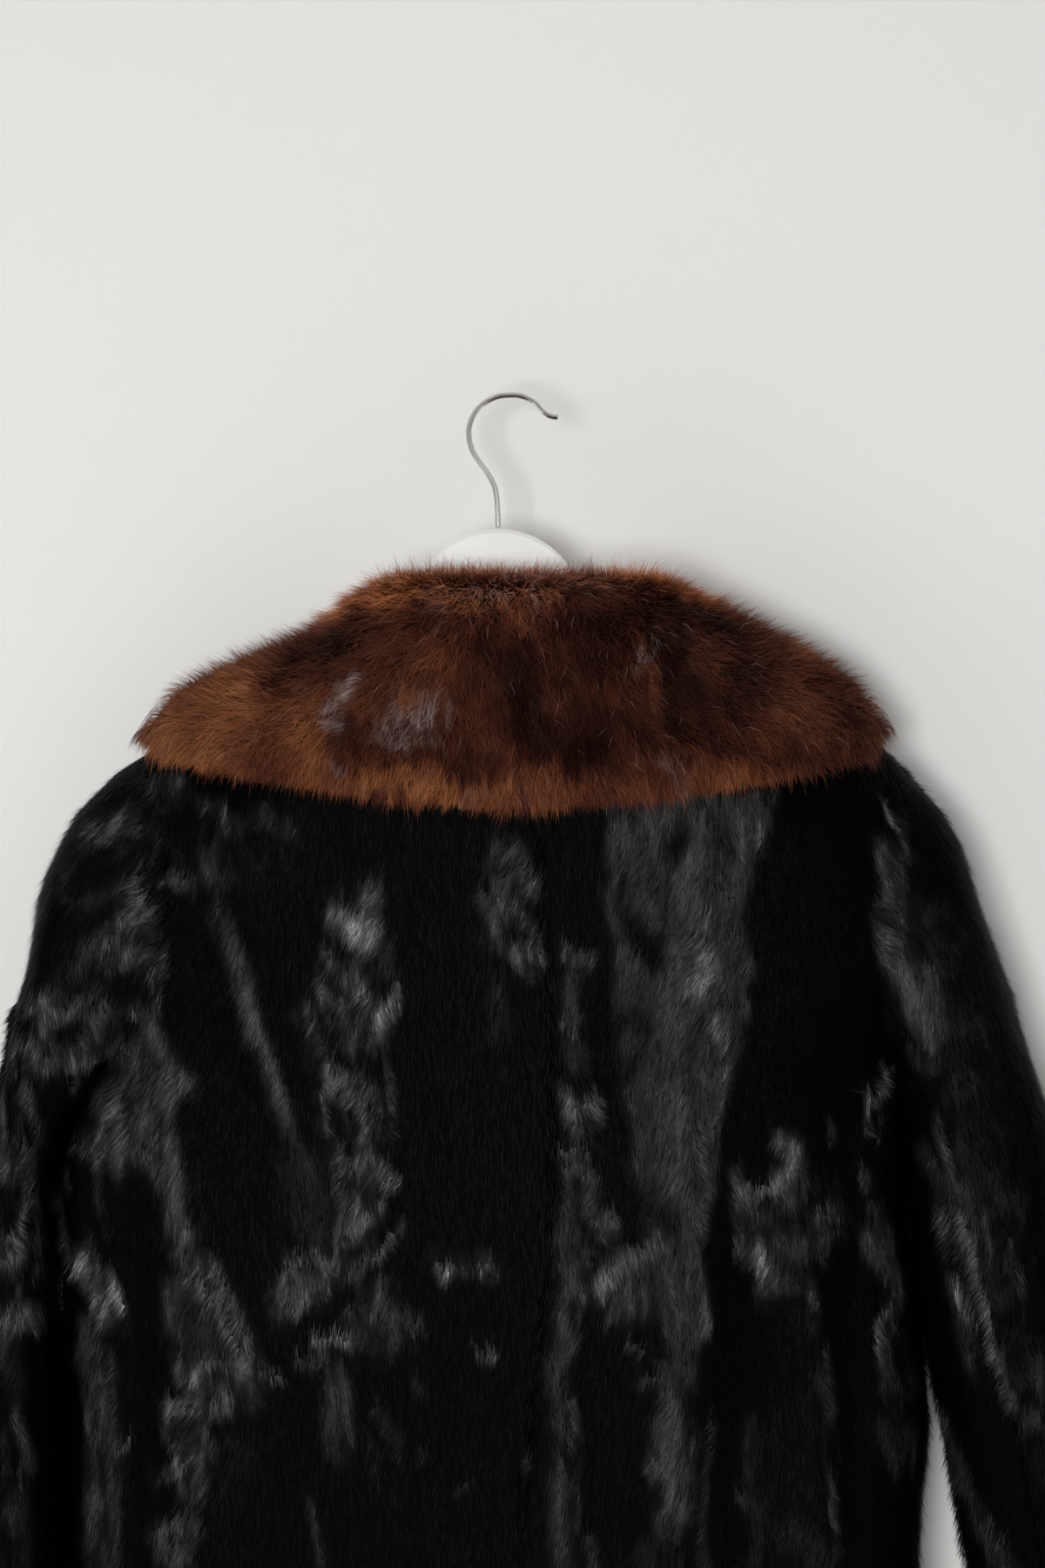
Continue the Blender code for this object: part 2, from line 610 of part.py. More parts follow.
def share_seams(grids):
    """Gives panels that meet the same points and outward directions along their seams."""
    names = list(grids)
    points = np.concatenate([grids[n].reshape(-1, 3) for n in names])
    tree = KDTree(len(points))
    for i, p in enumerate(points):
        tree.insert(p, i)
    tree.balance()
    owner = np.array([min(k for _, k, _ in tree.find_range(p, SHARED_WITHIN)) for p in points])
    owner = owner[owner]
    total, count = np.zeros_like(points), np.zeros(len(points))
    np.add.at(total, owner, points)
    np.add.at(count, owner, 1)
    points = total[owner] / count[owner][:, None]
    directions = np.zeros_like(points)
    links = []
    start = 0
    for n in names:
        rows, columns = grids[n].shape[:2]
        cell = np.arange(start, start + rows * columns).reshape(rows, columns)
        start += rows * columns
        a, b, c, d = (owner[x].ravel() for x in (cell[:-1, :-1], cell[:-1, 1:], cell[1:, 1:], cell[1:, :-1]))
        face = np.cross(points[c] - points[a], points[d] - points[b]) * OUTWARD[n]
        for k in (a, b, c, d):
            np.add.at(directions, k, unit(face))
        links += [(a, b), (b, c), (c, d), (d, a)]
    directions = unit(directions)
    for _ in range(DIRECTION_EASES):
        near = directions.copy() * 2
        for a, b in links:
            np.add.at(near, a, directions[b])
            np.add.at(near, b, directions[a])
        directions = unit(near)
    directions = directions[owner]
    result, start = {}, 0
    for n in names:
        rows, columns = grids[n].shape[:2]
        size = rows * columns
        result[n] = (
            points[start : start + size].reshape(rows, columns, 3),
            directions[start : start + size].reshape(rows, columns, 3),
        )
        start += size
    return result


def apart(points, edges):
    """Draws the named edges of a grid in by half a seam gap, along the grid's own lines."""
    moved = points.copy()
    for edge in edges:
        here, inner = {
            "top": ((0, slice(None)), (1, slice(None))),
            "start": ((slice(None), 0), (slice(None), 1)),
            "end": ((slice(None), -1), (slice(None), -2)),
        }[edge]
        way = points[inner] - points[here]
        run = unit(np.gradient(points[here], axis=0))
        way = way - run * np.sum(way * run, axis=-1, keepdims=True)
        moved[here] += unit(way) * SEAM_GAP * 0.6
    return moved


# ---------------------------------------------------------------- collar
def push_out(point, lift):
    """Moves a point out of the body, the lapped fronts and the sleeve heads, along its level x."""
    x, y, down = point[0], point[1], -point[2]
    face, out = ("back", -1.0) if y < 0 else ("front", 1.0)
    inner_x = math.copysign(min(abs(x), 0.205), x)
    share = np.linspace(0, 1, 60) ** 2
    at = float(ridge_down(x)) + (SHOULDER_DROP + 0.10) * share
    reach = np.abs(face_y(face, inner_x, at)) / np.maximum(closing(inner_x, at), 1e-6) * closing(x, at)
    if face == "front":
        reach = reach + lap_lift(x, at)
    reach[0] = 0.0
    k = int(np.argmin((reach - abs(y)) ** 2 + (at - down) ** 2))
    a, b = max(k - 1, 0), min(k + 1, len(at) - 1)
    tangent = np.array([reach[b] - reach[a], at[b] - at[a]])
    if k == 0:
        tangent = np.array([1.0, 0.0])
    tangent /= np.linalg.norm(tangent)
    normal = np.array([tangent[1], -tangent[0]])  # (outwards in y, upwards)
    gap = (abs(y) - reach[k]) * normal[0] + (down - at[k]) * normal[1]
    if gap >= lift:
        return point
    return np.array([x, (abs(y) + normal[0] * (lift - gap)) * out, -(down + normal[1] * (lift - gap))])


def collar_base(side, panels):
    """The collar's base round the neckline, from the panels' own corners and their middles."""
    back, back_way = (grid[0, : NECK_ACROSS + 1] for grid in panels[f"back_{side}"])
    front, front_way = (grid[0, 1 : NECK_ACROSS + 1] for grid in panels[f"front_{side}"])
    made = []
    for a, b in ((back, front), (back_way, front_way)):
        corners = np.concatenate([a, b[-2::-1]])
        line = np.empty((2 * len(corners) - 1, 3))
        line[::2] = corners
        line[1::2] = (corners[:-1] + corners[1:]) / 2
        made.append(line)
    base, way = made[0], unit(made[1])
    run = unit(np.gradient(base, axis=0))
    off = unit(np.cross(run, way))
    off *= np.sign(off[0, 2] if abs(off[0, 2]) > 0.1 else 1.0)
    return base + off * SEAM_GAP, way


def collar(side, panels, material, parent):
    sign = 1 if side == "right" else -1
    stations = column(COLLAR, COLLAR_COLUMNS, "angle")
    base, way = collar_base(side, panels)
    base = base * (sign, 1, 1)
    on_back = 2 * NECK_ACROSS
    on_front = len(base) - 1 - on_back
    angles = np.concatenate([90 * np.arange(on_back) / on_back, 90 + 90 * np.arange(on_front + 1) / on_front])
    skin = []
    for angle, start in zip(angles, base):
        value = {n: float(smooth(stations, column(COLLAR, COLLAR_COLUMNS, n), angle)) for n in COLLAR_COLUMNS}
        tip = COLLAR_TIP_OUT[side] * math.exp(-(((angle - 88) / 28) ** 2))
        a = math.radians(angle)
        plan = unit(np.array([math.sin(a) * 0.80, -math.cos(a), 0.0]))
        up = np.array([0.0, 0.0, 1.0])
        roll = np.array([value["roll_x"], value["roll_y"], -value["roll_down"]])
        edge = np.array([value["edge_x"] + tip, value["edge_y"], -value["edge_down"]])
        # The stand rises from the neckline, inside it, to the roll line.
        foot = start
        inside = roll - plan * FOLD_RADIUS
        outside = roll + plan * FOLD_RADIUS
        line = [foot, foot * 0.5 + inside * 0.5 - plan * 0.001, inside]
        line.append(roll - plan * FOLD_RADIUS * 0.5 + up * FOLD_RADIUS * 0.9)
        line.append(roll + plan * FOLD_RADIUS * 0.5 + up * FOLD_RADIUS * 0.9)
        line.append(outside)
        reach = np.linalg.norm(edge - outside)
        over = math.sin(a) ** 4
        start_way = unit(plan * (0.45 + COLLAR_RISE[side] * over) - up) * reach * 0.9
        end_way = unit((edge - outside) / reach * (1 - COLLAR_TURN[side] * over) - up * COLLAR_TURN[side] * over)
        end_way = end_way * reach * 0.9
        for t in np.arange(1, FALL_ROWS + 1) / FALL_ROWS:
            p = (
                (2 * t**3 - 3 * t**2 + 1) * outside
                + (t**3 - 2 * t**2 + t) * start_way
                + (3 * t**2 - 2 * t**3) * edge
                + (t**3 - t**2) * end_way
            )
            p[0] *= sign
            p = push_out(p, COLLAR_LIFT + 0.0025 * float(ease((abs(p[0]) - 0.17) / 0.03)))
            p[0] *= sign
            line.append(p)
        skin.append(line)
    skin = np.array(skin)  # (around, rows, 3)
    skin[0, :, 0] = SEAM_GAP / 2
    skin[-1, 1:, 0] = np.maximum(skin[-1, 1:, 0], FRONT_COLLAR_END)
    skin[..., 0] *= sign
    normal = grid_normals(skin, 1, (0.0, -1.0, 0.3))
    normal[:, 0] = -way
    normal[0, :, 0] = 0
    normal = unit(normal)
    thick = np.full(skin.shape[1], PILE)
    thick[0], thick[1] = WALL, PILE * 0.7
    thick[-1], thick[-2] = COLLAR_EDGE, PILE * 0.92
    thick = np.repeat(thick[None], skin.shape[0], axis=0)
    over = np.sin(np.radians(angles)) ** 4
    thick[:, -1] += (COLLAR_TIP_PILE - COLLAR_EDGE) * over
    thick[:, -2] += (PILE - PILE * 0.92) * over
    thick[-1] *= 0.6
    outer = skin + normal * thick[..., None]
    wall(f"collar_{side}", outer, skin, material, parent)


# ---------------------------------------------------------------- hanger
def hanger(material, parent):
    """A flat shaped hanger: a round hump at the neck and two arms along the shoulders."""
    centre = HUMP_TOP_DOWN + HUMP_RADIUS
    xs = np.linspace(-HANGER_ARM, HANGER_ARM, 61)
    arm_line = ridge_down(xs + HANGER_X - CENTRE_X) + HANGER_UNDER
    arm_line = arm_line + HANGER_NECK_UNDER * ease((0.110 - np.abs(xs)) / 0.03)
    top = []
    for x, arm in zip(xs, arm_line):
        if abs(x) >= HUMP_RADIUS * 0.999:
            top.append(arm)
            continue
        hump = centre - math.sqrt(HUMP_RADIUS**2 - x * x)
        blend = 0.006  # softens the corner between hump and arm
        h = max(0.0, min(1.0, 0.5 + 0.5 * (arm - hump) / blend))
        top.append(arm * (1 - h) + hump * h - blend * h * (1 - h) * 0.5)
    top = np.array(top)
    reach = np.abs(xs) / HANGER_ARM
    low = np.maximum(arm_line, 0.1665 - 0.02 * reach) + 0.034 - 0.012 * reach
    # The ends are rounded.
    end = ease((1 - reach) / 0.05)
    mid = (top + low) / 2
    top, low = mid + (top - mid) * (0.45 + 0.55 * end), mid + (low - mid) * (0.45 + 0.55 * end)
    across = ((-1.0, 0.42), (-0.72, 0.0), (0.72, 0.0), (1.0, 0.42))
    bevel = 0.006
    rings = []
    for x, t, b in zip(xs, top, low):
        ring = [(x + HANGER_X, y * HANGER_HALF_THICK, -(t + inset * bevel)) for y, inset in across]
        ring += [(x + HANGER_X, y * HANGER_HALF_THICK, -(b - inset * bevel)) for y, inset in reversed(across)]
        rings.append(ring)
    points = [p for ring in rings for p in ring]
    n, faces = 8, []
    for i in range(len(rings) - 1):
        for j in range(n):
            a, b = i * n + j, i * n + (j + 1) % n
            faces.append((a, b, b + n, a + n))
    faces.append(tuple(range(n - 1, -1, -1)))
    last = (len(rings) - 1) * n
    faces.append(tuple(range(last, last + n)))
    made = new_object("hanger_body", points, [tuple(reversed(f)) for f in faces], material)
    made.parent = parent


def hook(material, parent):
    """A bent wire with rounded ends."""
    xs, downs = [h[0] for h in HOOK], [h[1] for h in HOOK]
    along = np.concatenate([[0], np.cumsum(np.hypot(np.diff(xs), np.diff(downs)))])
    at = np.linspace(0, along[-1], HOOK_STEPS + 1)
    x, z = smooth(along, xs, at), -smooth(along, downs, at)
    way = unit(np.stack([np.gradient(x), np.gradient(z)], axis=-1))
    points, faces = [], []
    rings = [(k, 0.0, 1.0) for k in range(HOOK_STEPS + 1)]
    rings = [(0, -0.35, 0.55)] + rings + [(HOOK_STEPS, 0.35, 0.55)]
    for k, past, share in rings:
        for j in range(HOOK_SIDES):
            a = 2 * math.pi * j / HOOK_SIDES
            side = WIRE_RADIUS * share * math.cos(a)
            points.append(
                (
                    x[k] - way[k, 1] * side + way[k, 0] * past * WIRE_RADIUS,
                    WIRE_RADIUS * share * math.sin(a),
                    z[k] + way[k, 0] * side + way[k, 1] * past * WIRE_RADIUS,
                )
            )
    n = HOOK_SIDES
    for i in range(len(rings) - 1):
        for j in range(n):
            a, b = i * n + j, i * n + (j + 1) % n
            faces.append((a + n, b + n, b, a))
    faces.append(tuple(range(n)))
    last = (len(rings) - 1) * n
    faces.append(tuple(range(last + n - 1, last - 1, -1)))
    made = new_object("hanger_hook", points, faces, material)
    made.parent = parent


def main():
    for old in list(bpy.data.objects):
        bpy.data.objects.remove(old, do_unlink=True)
    coat = bpy.data.objects.new("coat", None)
    bpy.context.scene.collection.objects.link(coat)
    fur = finish("black_fur", (0.012, 0.012, 0.013), 0.38)
    mink = finish("brown_mink", (0.150, 0.060, 0.030), 0.50)
    white = finish("white_hanger", (0.82, 0.81, 0.79), 0.35)
    chrome = finish("chrome", (0.80, 0.80, 0.82), 0.12, 1.0)
    grids = {}
    for side in ("left", "right"):
        grids[f"back_{side}"] = panel("back", side)
        grids[f"front_{side}"] = panel("front", side)
        grids[f"sleeve_top_{side}"], grids[f"sleeve_under_{side}"] = sleeve(side)
    panels = share_seams(grids)
    for name, (outer, way) in panels.items():
        edges = ("top", "end") if name.startswith("front") else ("top", "start", "end")
        wall(name, apart(outer, edges), apart(outer - way * WALL, edges), fur, coat)
    for side in ("left", "right"):
        collar(side, panels, mink, coat)
    hanger(white, coat)
    hook(chrome, coat)


main()
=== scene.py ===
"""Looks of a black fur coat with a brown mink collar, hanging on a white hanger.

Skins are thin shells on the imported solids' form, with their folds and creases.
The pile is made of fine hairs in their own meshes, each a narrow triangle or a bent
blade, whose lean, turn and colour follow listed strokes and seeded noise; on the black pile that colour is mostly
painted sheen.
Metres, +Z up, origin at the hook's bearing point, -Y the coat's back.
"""

import math

import bpy
import numpy as np
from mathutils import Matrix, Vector
from mathutils.bvhtree import BVHTree
from mathutils.kdtree import KDTree


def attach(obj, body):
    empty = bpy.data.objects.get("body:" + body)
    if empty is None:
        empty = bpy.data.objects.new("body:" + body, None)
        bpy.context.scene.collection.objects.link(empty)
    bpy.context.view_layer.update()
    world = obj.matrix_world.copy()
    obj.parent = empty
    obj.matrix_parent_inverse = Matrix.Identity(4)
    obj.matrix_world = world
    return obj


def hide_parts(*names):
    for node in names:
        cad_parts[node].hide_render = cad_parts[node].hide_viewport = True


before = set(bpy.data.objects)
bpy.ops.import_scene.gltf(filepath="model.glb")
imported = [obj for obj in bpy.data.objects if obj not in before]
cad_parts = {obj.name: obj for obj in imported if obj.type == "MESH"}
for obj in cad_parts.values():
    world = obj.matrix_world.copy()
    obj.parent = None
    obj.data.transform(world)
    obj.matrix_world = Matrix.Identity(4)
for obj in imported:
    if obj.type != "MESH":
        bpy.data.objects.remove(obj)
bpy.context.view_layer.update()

# ---------------------------------------------------------------- sizes (metres)
CENTRE_X = 0.007  # the coat's centre plane, from the hook's bearing point
WALL = 0.004  # skin, lining and flat short pile of the body and sleeves
PILE = 0.0135  # skin and dense mink pile of the collar
SEAM_GAP = 0.0003  # between pieces at a seam
HEM_DOWN = 1.080  # hem below the hook
SHOULDER_DROP = 0.090  # height in which back and front reach their full depth
RIDGE_ROUND = 2.2  # roundness of the shoulder's ridge
NECK_X = 0.085  # half the neck's width at the shoulder seams
NECK_DOWN = 0.1430  # the shoulder seams' neck ends
NECK_BACK_DOWN = 0.172  # the neckline at the centre back
NECK_FRONT_DOWN = 0.236  # the neckline at the centre front
LAP = 0.035  # each front runs this far past the centre front
LAP_LIFT = 0.0062  # the upper front lies this far out from the lower one
LAP_EASE = 0.120  # and comes back to the body's form at this x

FOLD_RADIUS = 0.0035  # skin radius at the collar's roll line
COLLAR_LIFT = 0.0030  # between the collar's skin and what it lies on
COLLAR_TIP_PILE = 0.0120  # pile thickness at its tips over the sleeves
COLLAR_EDGE = 0.0050  # pile thickness at the collar's outer edge


# The body's level sections: half widths left and right, depths back and front,
# and how square the section is (2 is an ellipse).
BODY = (
    # down, left, right, back, front, square
    (0.100, 0.255, 0.250, 0.068, 0.052, 2.7),
    (0.215, 0.255, 0.250, 0.074, 0.055, 2.7),
    (0.300, 0.255, 0.249, 0.077, 0.057, 2.7),
    (0.350, 0.252, 0.240, 0.078, 0.058, 2.8),
    (0.398, 0.2430, 0.2170, 0.079, 0.058, 2.8),
    (0.430, 0.2640, 0.2270, 0.080, 0.058, 2.8),
    (0.460, 0.2695, 0.2283, 0.080, 0.058, 2.8),
    (0.495, 0.2715, 0.2312, 0.080, 0.057, 2.8),
    (0.551, 0.2712, 0.2382, 0.079, 0.057, 2.8),
    (0.615, 0.2698, 0.2438, 0.078, 0.057, 2.8),
    (0.670, 0.2692, 0.2405, 0.078, 0.058, 2.8),
    (0.760, 0.2697, 0.2385, 0.080, 0.059, 2.7),
    (0.900, 0.2740, 0.2480, 0.085, 0.061, 2.6),
    (1.100, 0.2840, 0.2620, 0.092, 0.064, 2.5),
)
BODY_COLUMNS = ("down", "left", "right", "back", "front", "square")

# The centre back seam wanders a little from side to side as the coat hangs.
BACK_SEAM = (
    # down, x
    (0.100, 0.000),
    (0.160, 0.000),
    (0.190, 0.001),
    (0.260, 0.012),
    (0.350, 0.017),
    (0.440, 0.020),
    (0.520, 0.017),
    (0.580, 0.009),
    (0.640, 0.003),
    (0.760, 0.004),
    (1.100, 0.002),
)

# The shoulder's ridge, out from the neck's end of the seam and over the sleeve head.
RIDGE = (
    # x, down
    (0.000, 0.112),
    (0.040, 0.121),
    (0.085, 0.1430),
    (0.150, 0.1720),
    (0.200, 0.1965),
    (0.222, 0.2100),
    (0.242, 0.2260),
    (0.258, 0.2460),
    (0.270, 0.2740),
)

# Soft drape folds: a run from one point to another, its half width and how far it
# stands out (or sinks, when negative).
FOLDS = (
    # face, x1, down1, x2, down2, half_width, out
    ("back", -0.178, 0.285, -0.128, 0.432, 0.013, 0.0055),
    ("back", -0.150, 0.285, -0.100, 0.420, 0.016, -0.0030),
    ("back", 0.190, 0.400, 0.196, 0.690, 0.009, -0.0085),
    ("back", 0.196, 0.690, 0.214, 1.120, 0.013, -0.0085),
    ("back", -0.190, 0.500, -0.192, 0.720, 0.012, 0.0050),
    ("back", -0.223, 0.460, -0.222, 0.740, 0.011, -0.0060),
    ("back", 0.092, 0.380, 0.088, 0.660, 0.026, 0.0050),
    ("back", 0.142, 0.430, 0.146, 0.700, 0.024, -0.0050),
    ("back", -0.038, 0.270, -0.040, 0.700, 0.028, -0.0040),
    ("back", -0.098, 0.370, -0.102, 0.560, 0.020, 0.0040),
    ("back", -0.120, 0.740, -0.132, 1.120, 0.030, -0.0090),
    ("back", 0.062, 0.720, 0.070, 1.120, 0.034, 0.0090),
    ("back", -0.040, 0.760, -0.048, 1.120, 0.030, 0.0080),
    ("back", -0.205, 0.740, -0.216, 1.120, 0.024, 0.0070),
    ("front", 0.165, 0.400, 0.180, 1.120, 0.016, -0.0075),
    ("front", -0.175, 0.420, -0.190, 1.120, 0.018, -0.0070),
    ("front", 0.110, 0.560, 0.120, 1.120, 0.028, 0.0065),
    ("front", -0.115, 0.500, -0.125, 1.120, 0.026, 0.0060),
    ("front", 0.150, 0.300, 0.105, 0.450, 0.014, 0.0040),
    ("front", -0.158, 0.290, -0.110, 0.440, 0.014, 0.0040),
)

# The sleeves as rings from the armhole to the cuff: the outer point, the inner
# (underarm) point and half the ring's thickness from back to front. The first row
# lies on the body, and its x gives the armhole's upper and lower ends.
SLEEVE_COLUMNS = ("out_x", "out_y", "out_down", "in_x", "in_y", "in_down", "half_y")
SLEEVE_RIGHT = (
    (0.2200, 0.000, 0.2100, 0.2170, 0.000, 0.3980, 0.052),
    (0.2350, 0.000, 0.2265, 0.2185, -0.001, 0.3975, 0.054),
    (0.2550, 0.000, 0.2485, 0.2207, -0.003, 0.4010, 0.057),
    (0.2680, 0.000, 0.2790, 0.2232, -0.005, 0.4060, 0.059),
    (0.2795, -0.001, 0.3140, 0.2257, -0.007, 0.4130, 0.060),
    (0.2930, -0.002, 0.3500, 0.2280, -0.009, 0.4230, 0.060),
    (0.3055, -0.003, 0.3950, 0.2298, -0.012, 0.4430, 0.060),
    (0.3220, -0.004, 0.4450, 0.2312, -0.015, 0.4750, 0.058),
    (0.3380, -0.005, 0.5050, 0.2370, -0.018, 0.5330, 0.056),
    (0.3525, -0.006, 0.5700, 0.2480, -0.020, 0.5980, 0.053),
    (0.3675, -0.006, 0.6350, 0.2590, -0.020, 0.6640, 0.050),
    (0.3810, -0.005, 0.7000, 0.2690, -0.018, 0.7290, 0.048),
    (0.3920, -0.004, 0.7600, 0.2780, -0.015, 0.7890, 0.047),
)
SLEEVE_LEFT = (
    (0.2260, 0.000, 0.2126, 0.2430, 0.000, 0.3980, 0.052),
    (0.2420, 0.000, 0.2240, 0.2450, 0.001, 0.3975, 0.054),
    (0.2600, 0.000, 0.2430, 0.2482, 0.002, 0.4010, 0.057),
    (0.2760, 0.000, 0.2690, 0.2520, 0.003, 0.4060, 0.059),
    (0.2865, -0.001, 0.3000, 0.2565, 0.004, 0.4130, 0.061),
    (0.2930, -0.002, 0.3380, 0.2620, 0.005, 0.4230, 0.062),
    (0.3050, -0.003, 0.3840, 0.2685, 0.006, 0.4430, 0.062),
    (0.3190, -0.004, 0.4380, 0.2735, 0.007, 0.4750, 0.060),
    (0.3370, -0.004, 0.5000, 0.2735, 0.008, 0.5330, 0.057),
    (0.3550, -0.004, 0.5650, 0.2720, 0.008, 0.5980, 0.054),
    (0.3710, -0.004, 0.6300, 0.2714, 0.006, 0.6640, 0.051),
    (0.3850, -0.003, 0.6950, 0.2725, 0.004, 0.7290, 0.048),
    (0.3960, -0.002, 0.7550, 0.2765, 0.002, 0.7890, 0.047),
)
ARMHOLE_SCOOP = {"right": 0.0085, "left": 0.0280}  # how far the armhole cuts in
# Where the sleeves' back and front seams run, in degrees round from the outer line.
# The first rows fall on corners of the armhole.
SLEEVE_SEAM = (
    # ring, right_back, left_back, front
    (0, 150.0, 150.0, 135.0),
    (1, 150.0, 150.0, 135.0),
    (4, 140.0, 138.0, 130.0),
    (7, 122.0, 130.0, 120.0),
    (9, 108.0, 138.0, 112.0),
    (10.5, 104.0, 140.0, 110.0),
    (12, 102.0, 128.0, 108.0),
)
SEAM_COLUMNS = ("ring", "right_back", "left_back", "front")
SLEEVE_SQUARE = 2.15
SLEEVE_EASE = 1.6  # rings over which the armhole's line turns into the sleeve's

# The collar, round from the centre back to the centre front: the roll line (its x,
# y and down) and the outer edge (its x and down, which then lies on the body).
COLLAR_COLUMNS = ("angle", "roll_x", "roll_y", "roll_down", "edge_x", "edge_y", "edge_down")
COLLAR = (
    (0, 0.0000, -0.0690, 0.1245, 0.0000, -0.078, 0.2490),
    (20, 0.0340, -0.0650, 0.1242, 0.0460, -0.076, 0.2465),
    (40, 0.0640, -0.0530, 0.1240, 0.0980, -0.072, 0.2410),
    (60, 0.0850, -0.0340, 0.1250, 0.1540, -0.062, 0.2320),
    (75, 0.0930, -0.0170, 0.1270, 0.2000, -0.040, 0.2200),
    (90, 0.0960, 0.0000, 0.1290, 0.2190, 0.000, 0.2075),
    (105, 0.0920, 0.0170, 0.1350, 0.2070, 0.034, 0.2260),
    (120, 0.0830, 0.0320, 0.1460, 0.1850, 0.050, 0.2560),
    (140, 0.0620, 0.0480, 0.1680, 0.1430, 0.062, 0.2990),
    (160, 0.0340, 0.0585, 0.1970, 0.0820, 0.068, 0.3280),
    (180, 0.0090, 0.0630, 0.2200, 0.0110, 0.070, 0.3320),
)
COLLAR_RISE = {"right": 1.5, "left": 0.30}  # how flat the fall leaves the roll line over a shoulder
FRONT_COLLAR_END = 0.0070  # the collar's ends stop this far from the centre front


# Small creases and puckers on top of the drape folds, as in FOLDS.
CREASES = (
    # face, x1, down1, x2, down2, half_width, out
    ("back", -0.205, 0.300, -0.190, 0.430, 0.0060, 0.0016),
    ("back", -0.162, 0.330, -0.120, 0.455, 0.0055, -0.0014),
    ("back", -0.095, 0.300, -0.078, 0.500, 0.0090, 0.0016),
    ("back", -0.070, 0.330, -0.066, 0.640, 0.0080, -0.0014),
    ("back", 0.034, 0.300, 0.030, 0.700, 0.0085, 0.0018),
    ("back", 0.060, 0.290, 0.052, 0.520, 0.0080, -0.0014),
    ("back", 0.108, 0.300, 0.098, 0.560, 0.0095, 0.0014),
    ("back", 0.128, 0.430, 0.160, 0.520, 0.0065, 0.0015),
    ("back", 0.176, 0.500, 0.182, 0.720, 0.0070, 0.0018),
    ("back", 0.212, 0.430, 0.218, 0.600, 0.0060, 0.0014),
    ("back", -0.240, 0.520, -0.236, 0.700, 0.0060, 0.0014),
    ("back", -0.150, 0.520, -0.146, 0.760, 0.0080, -0.0016),
    ("back", -0.170, 0.740, -0.176, 1.060, 0.0130, -0.0022),
    ("back", -0.080, 0.720, -0.086, 1.050, 0.0120, 0.0020),
    ("back", 0.020, 0.760, 0.018, 1.070, 0.0110, -0.0018),
    ("back", 0.112, 0.720, 0.122, 1.060, 0.0120, -0.0022),
    ("back", 0.160, 0.760, 0.170, 1.040, 0.0120, 0.0020),
    ("front", 0.200, 0.310, 0.170, 0.420, 0.0060, 0.0014),
    ("front", 0.140, 0.420, 0.134, 0.640, 0.0080, -0.0015),
    ("front", 0.080, 0.420, 0.088, 0.700, 0.0085, 0.0014),
    ("front", 0.060, 0.760, 0.070, 1.060, 0.0120, -0.0020),
    ("front", 0.150, 0.700, 0.156, 1.040, 0.0110, 0.0018),
    ("front", -0.198, 0.320, -0.168, 0.430, 0.0060, 0.0014),
    ("front", -0.090, 0.400, -0.082, 0.660, 0.0090, -0.0014),
    ("front", -0.066, 0.720, -0.072, 1.050, 0.0120, 0.0018),
    ("front", -0.150, 0.640, -0.158, 1.060, 0.0110, -0.0020),
)
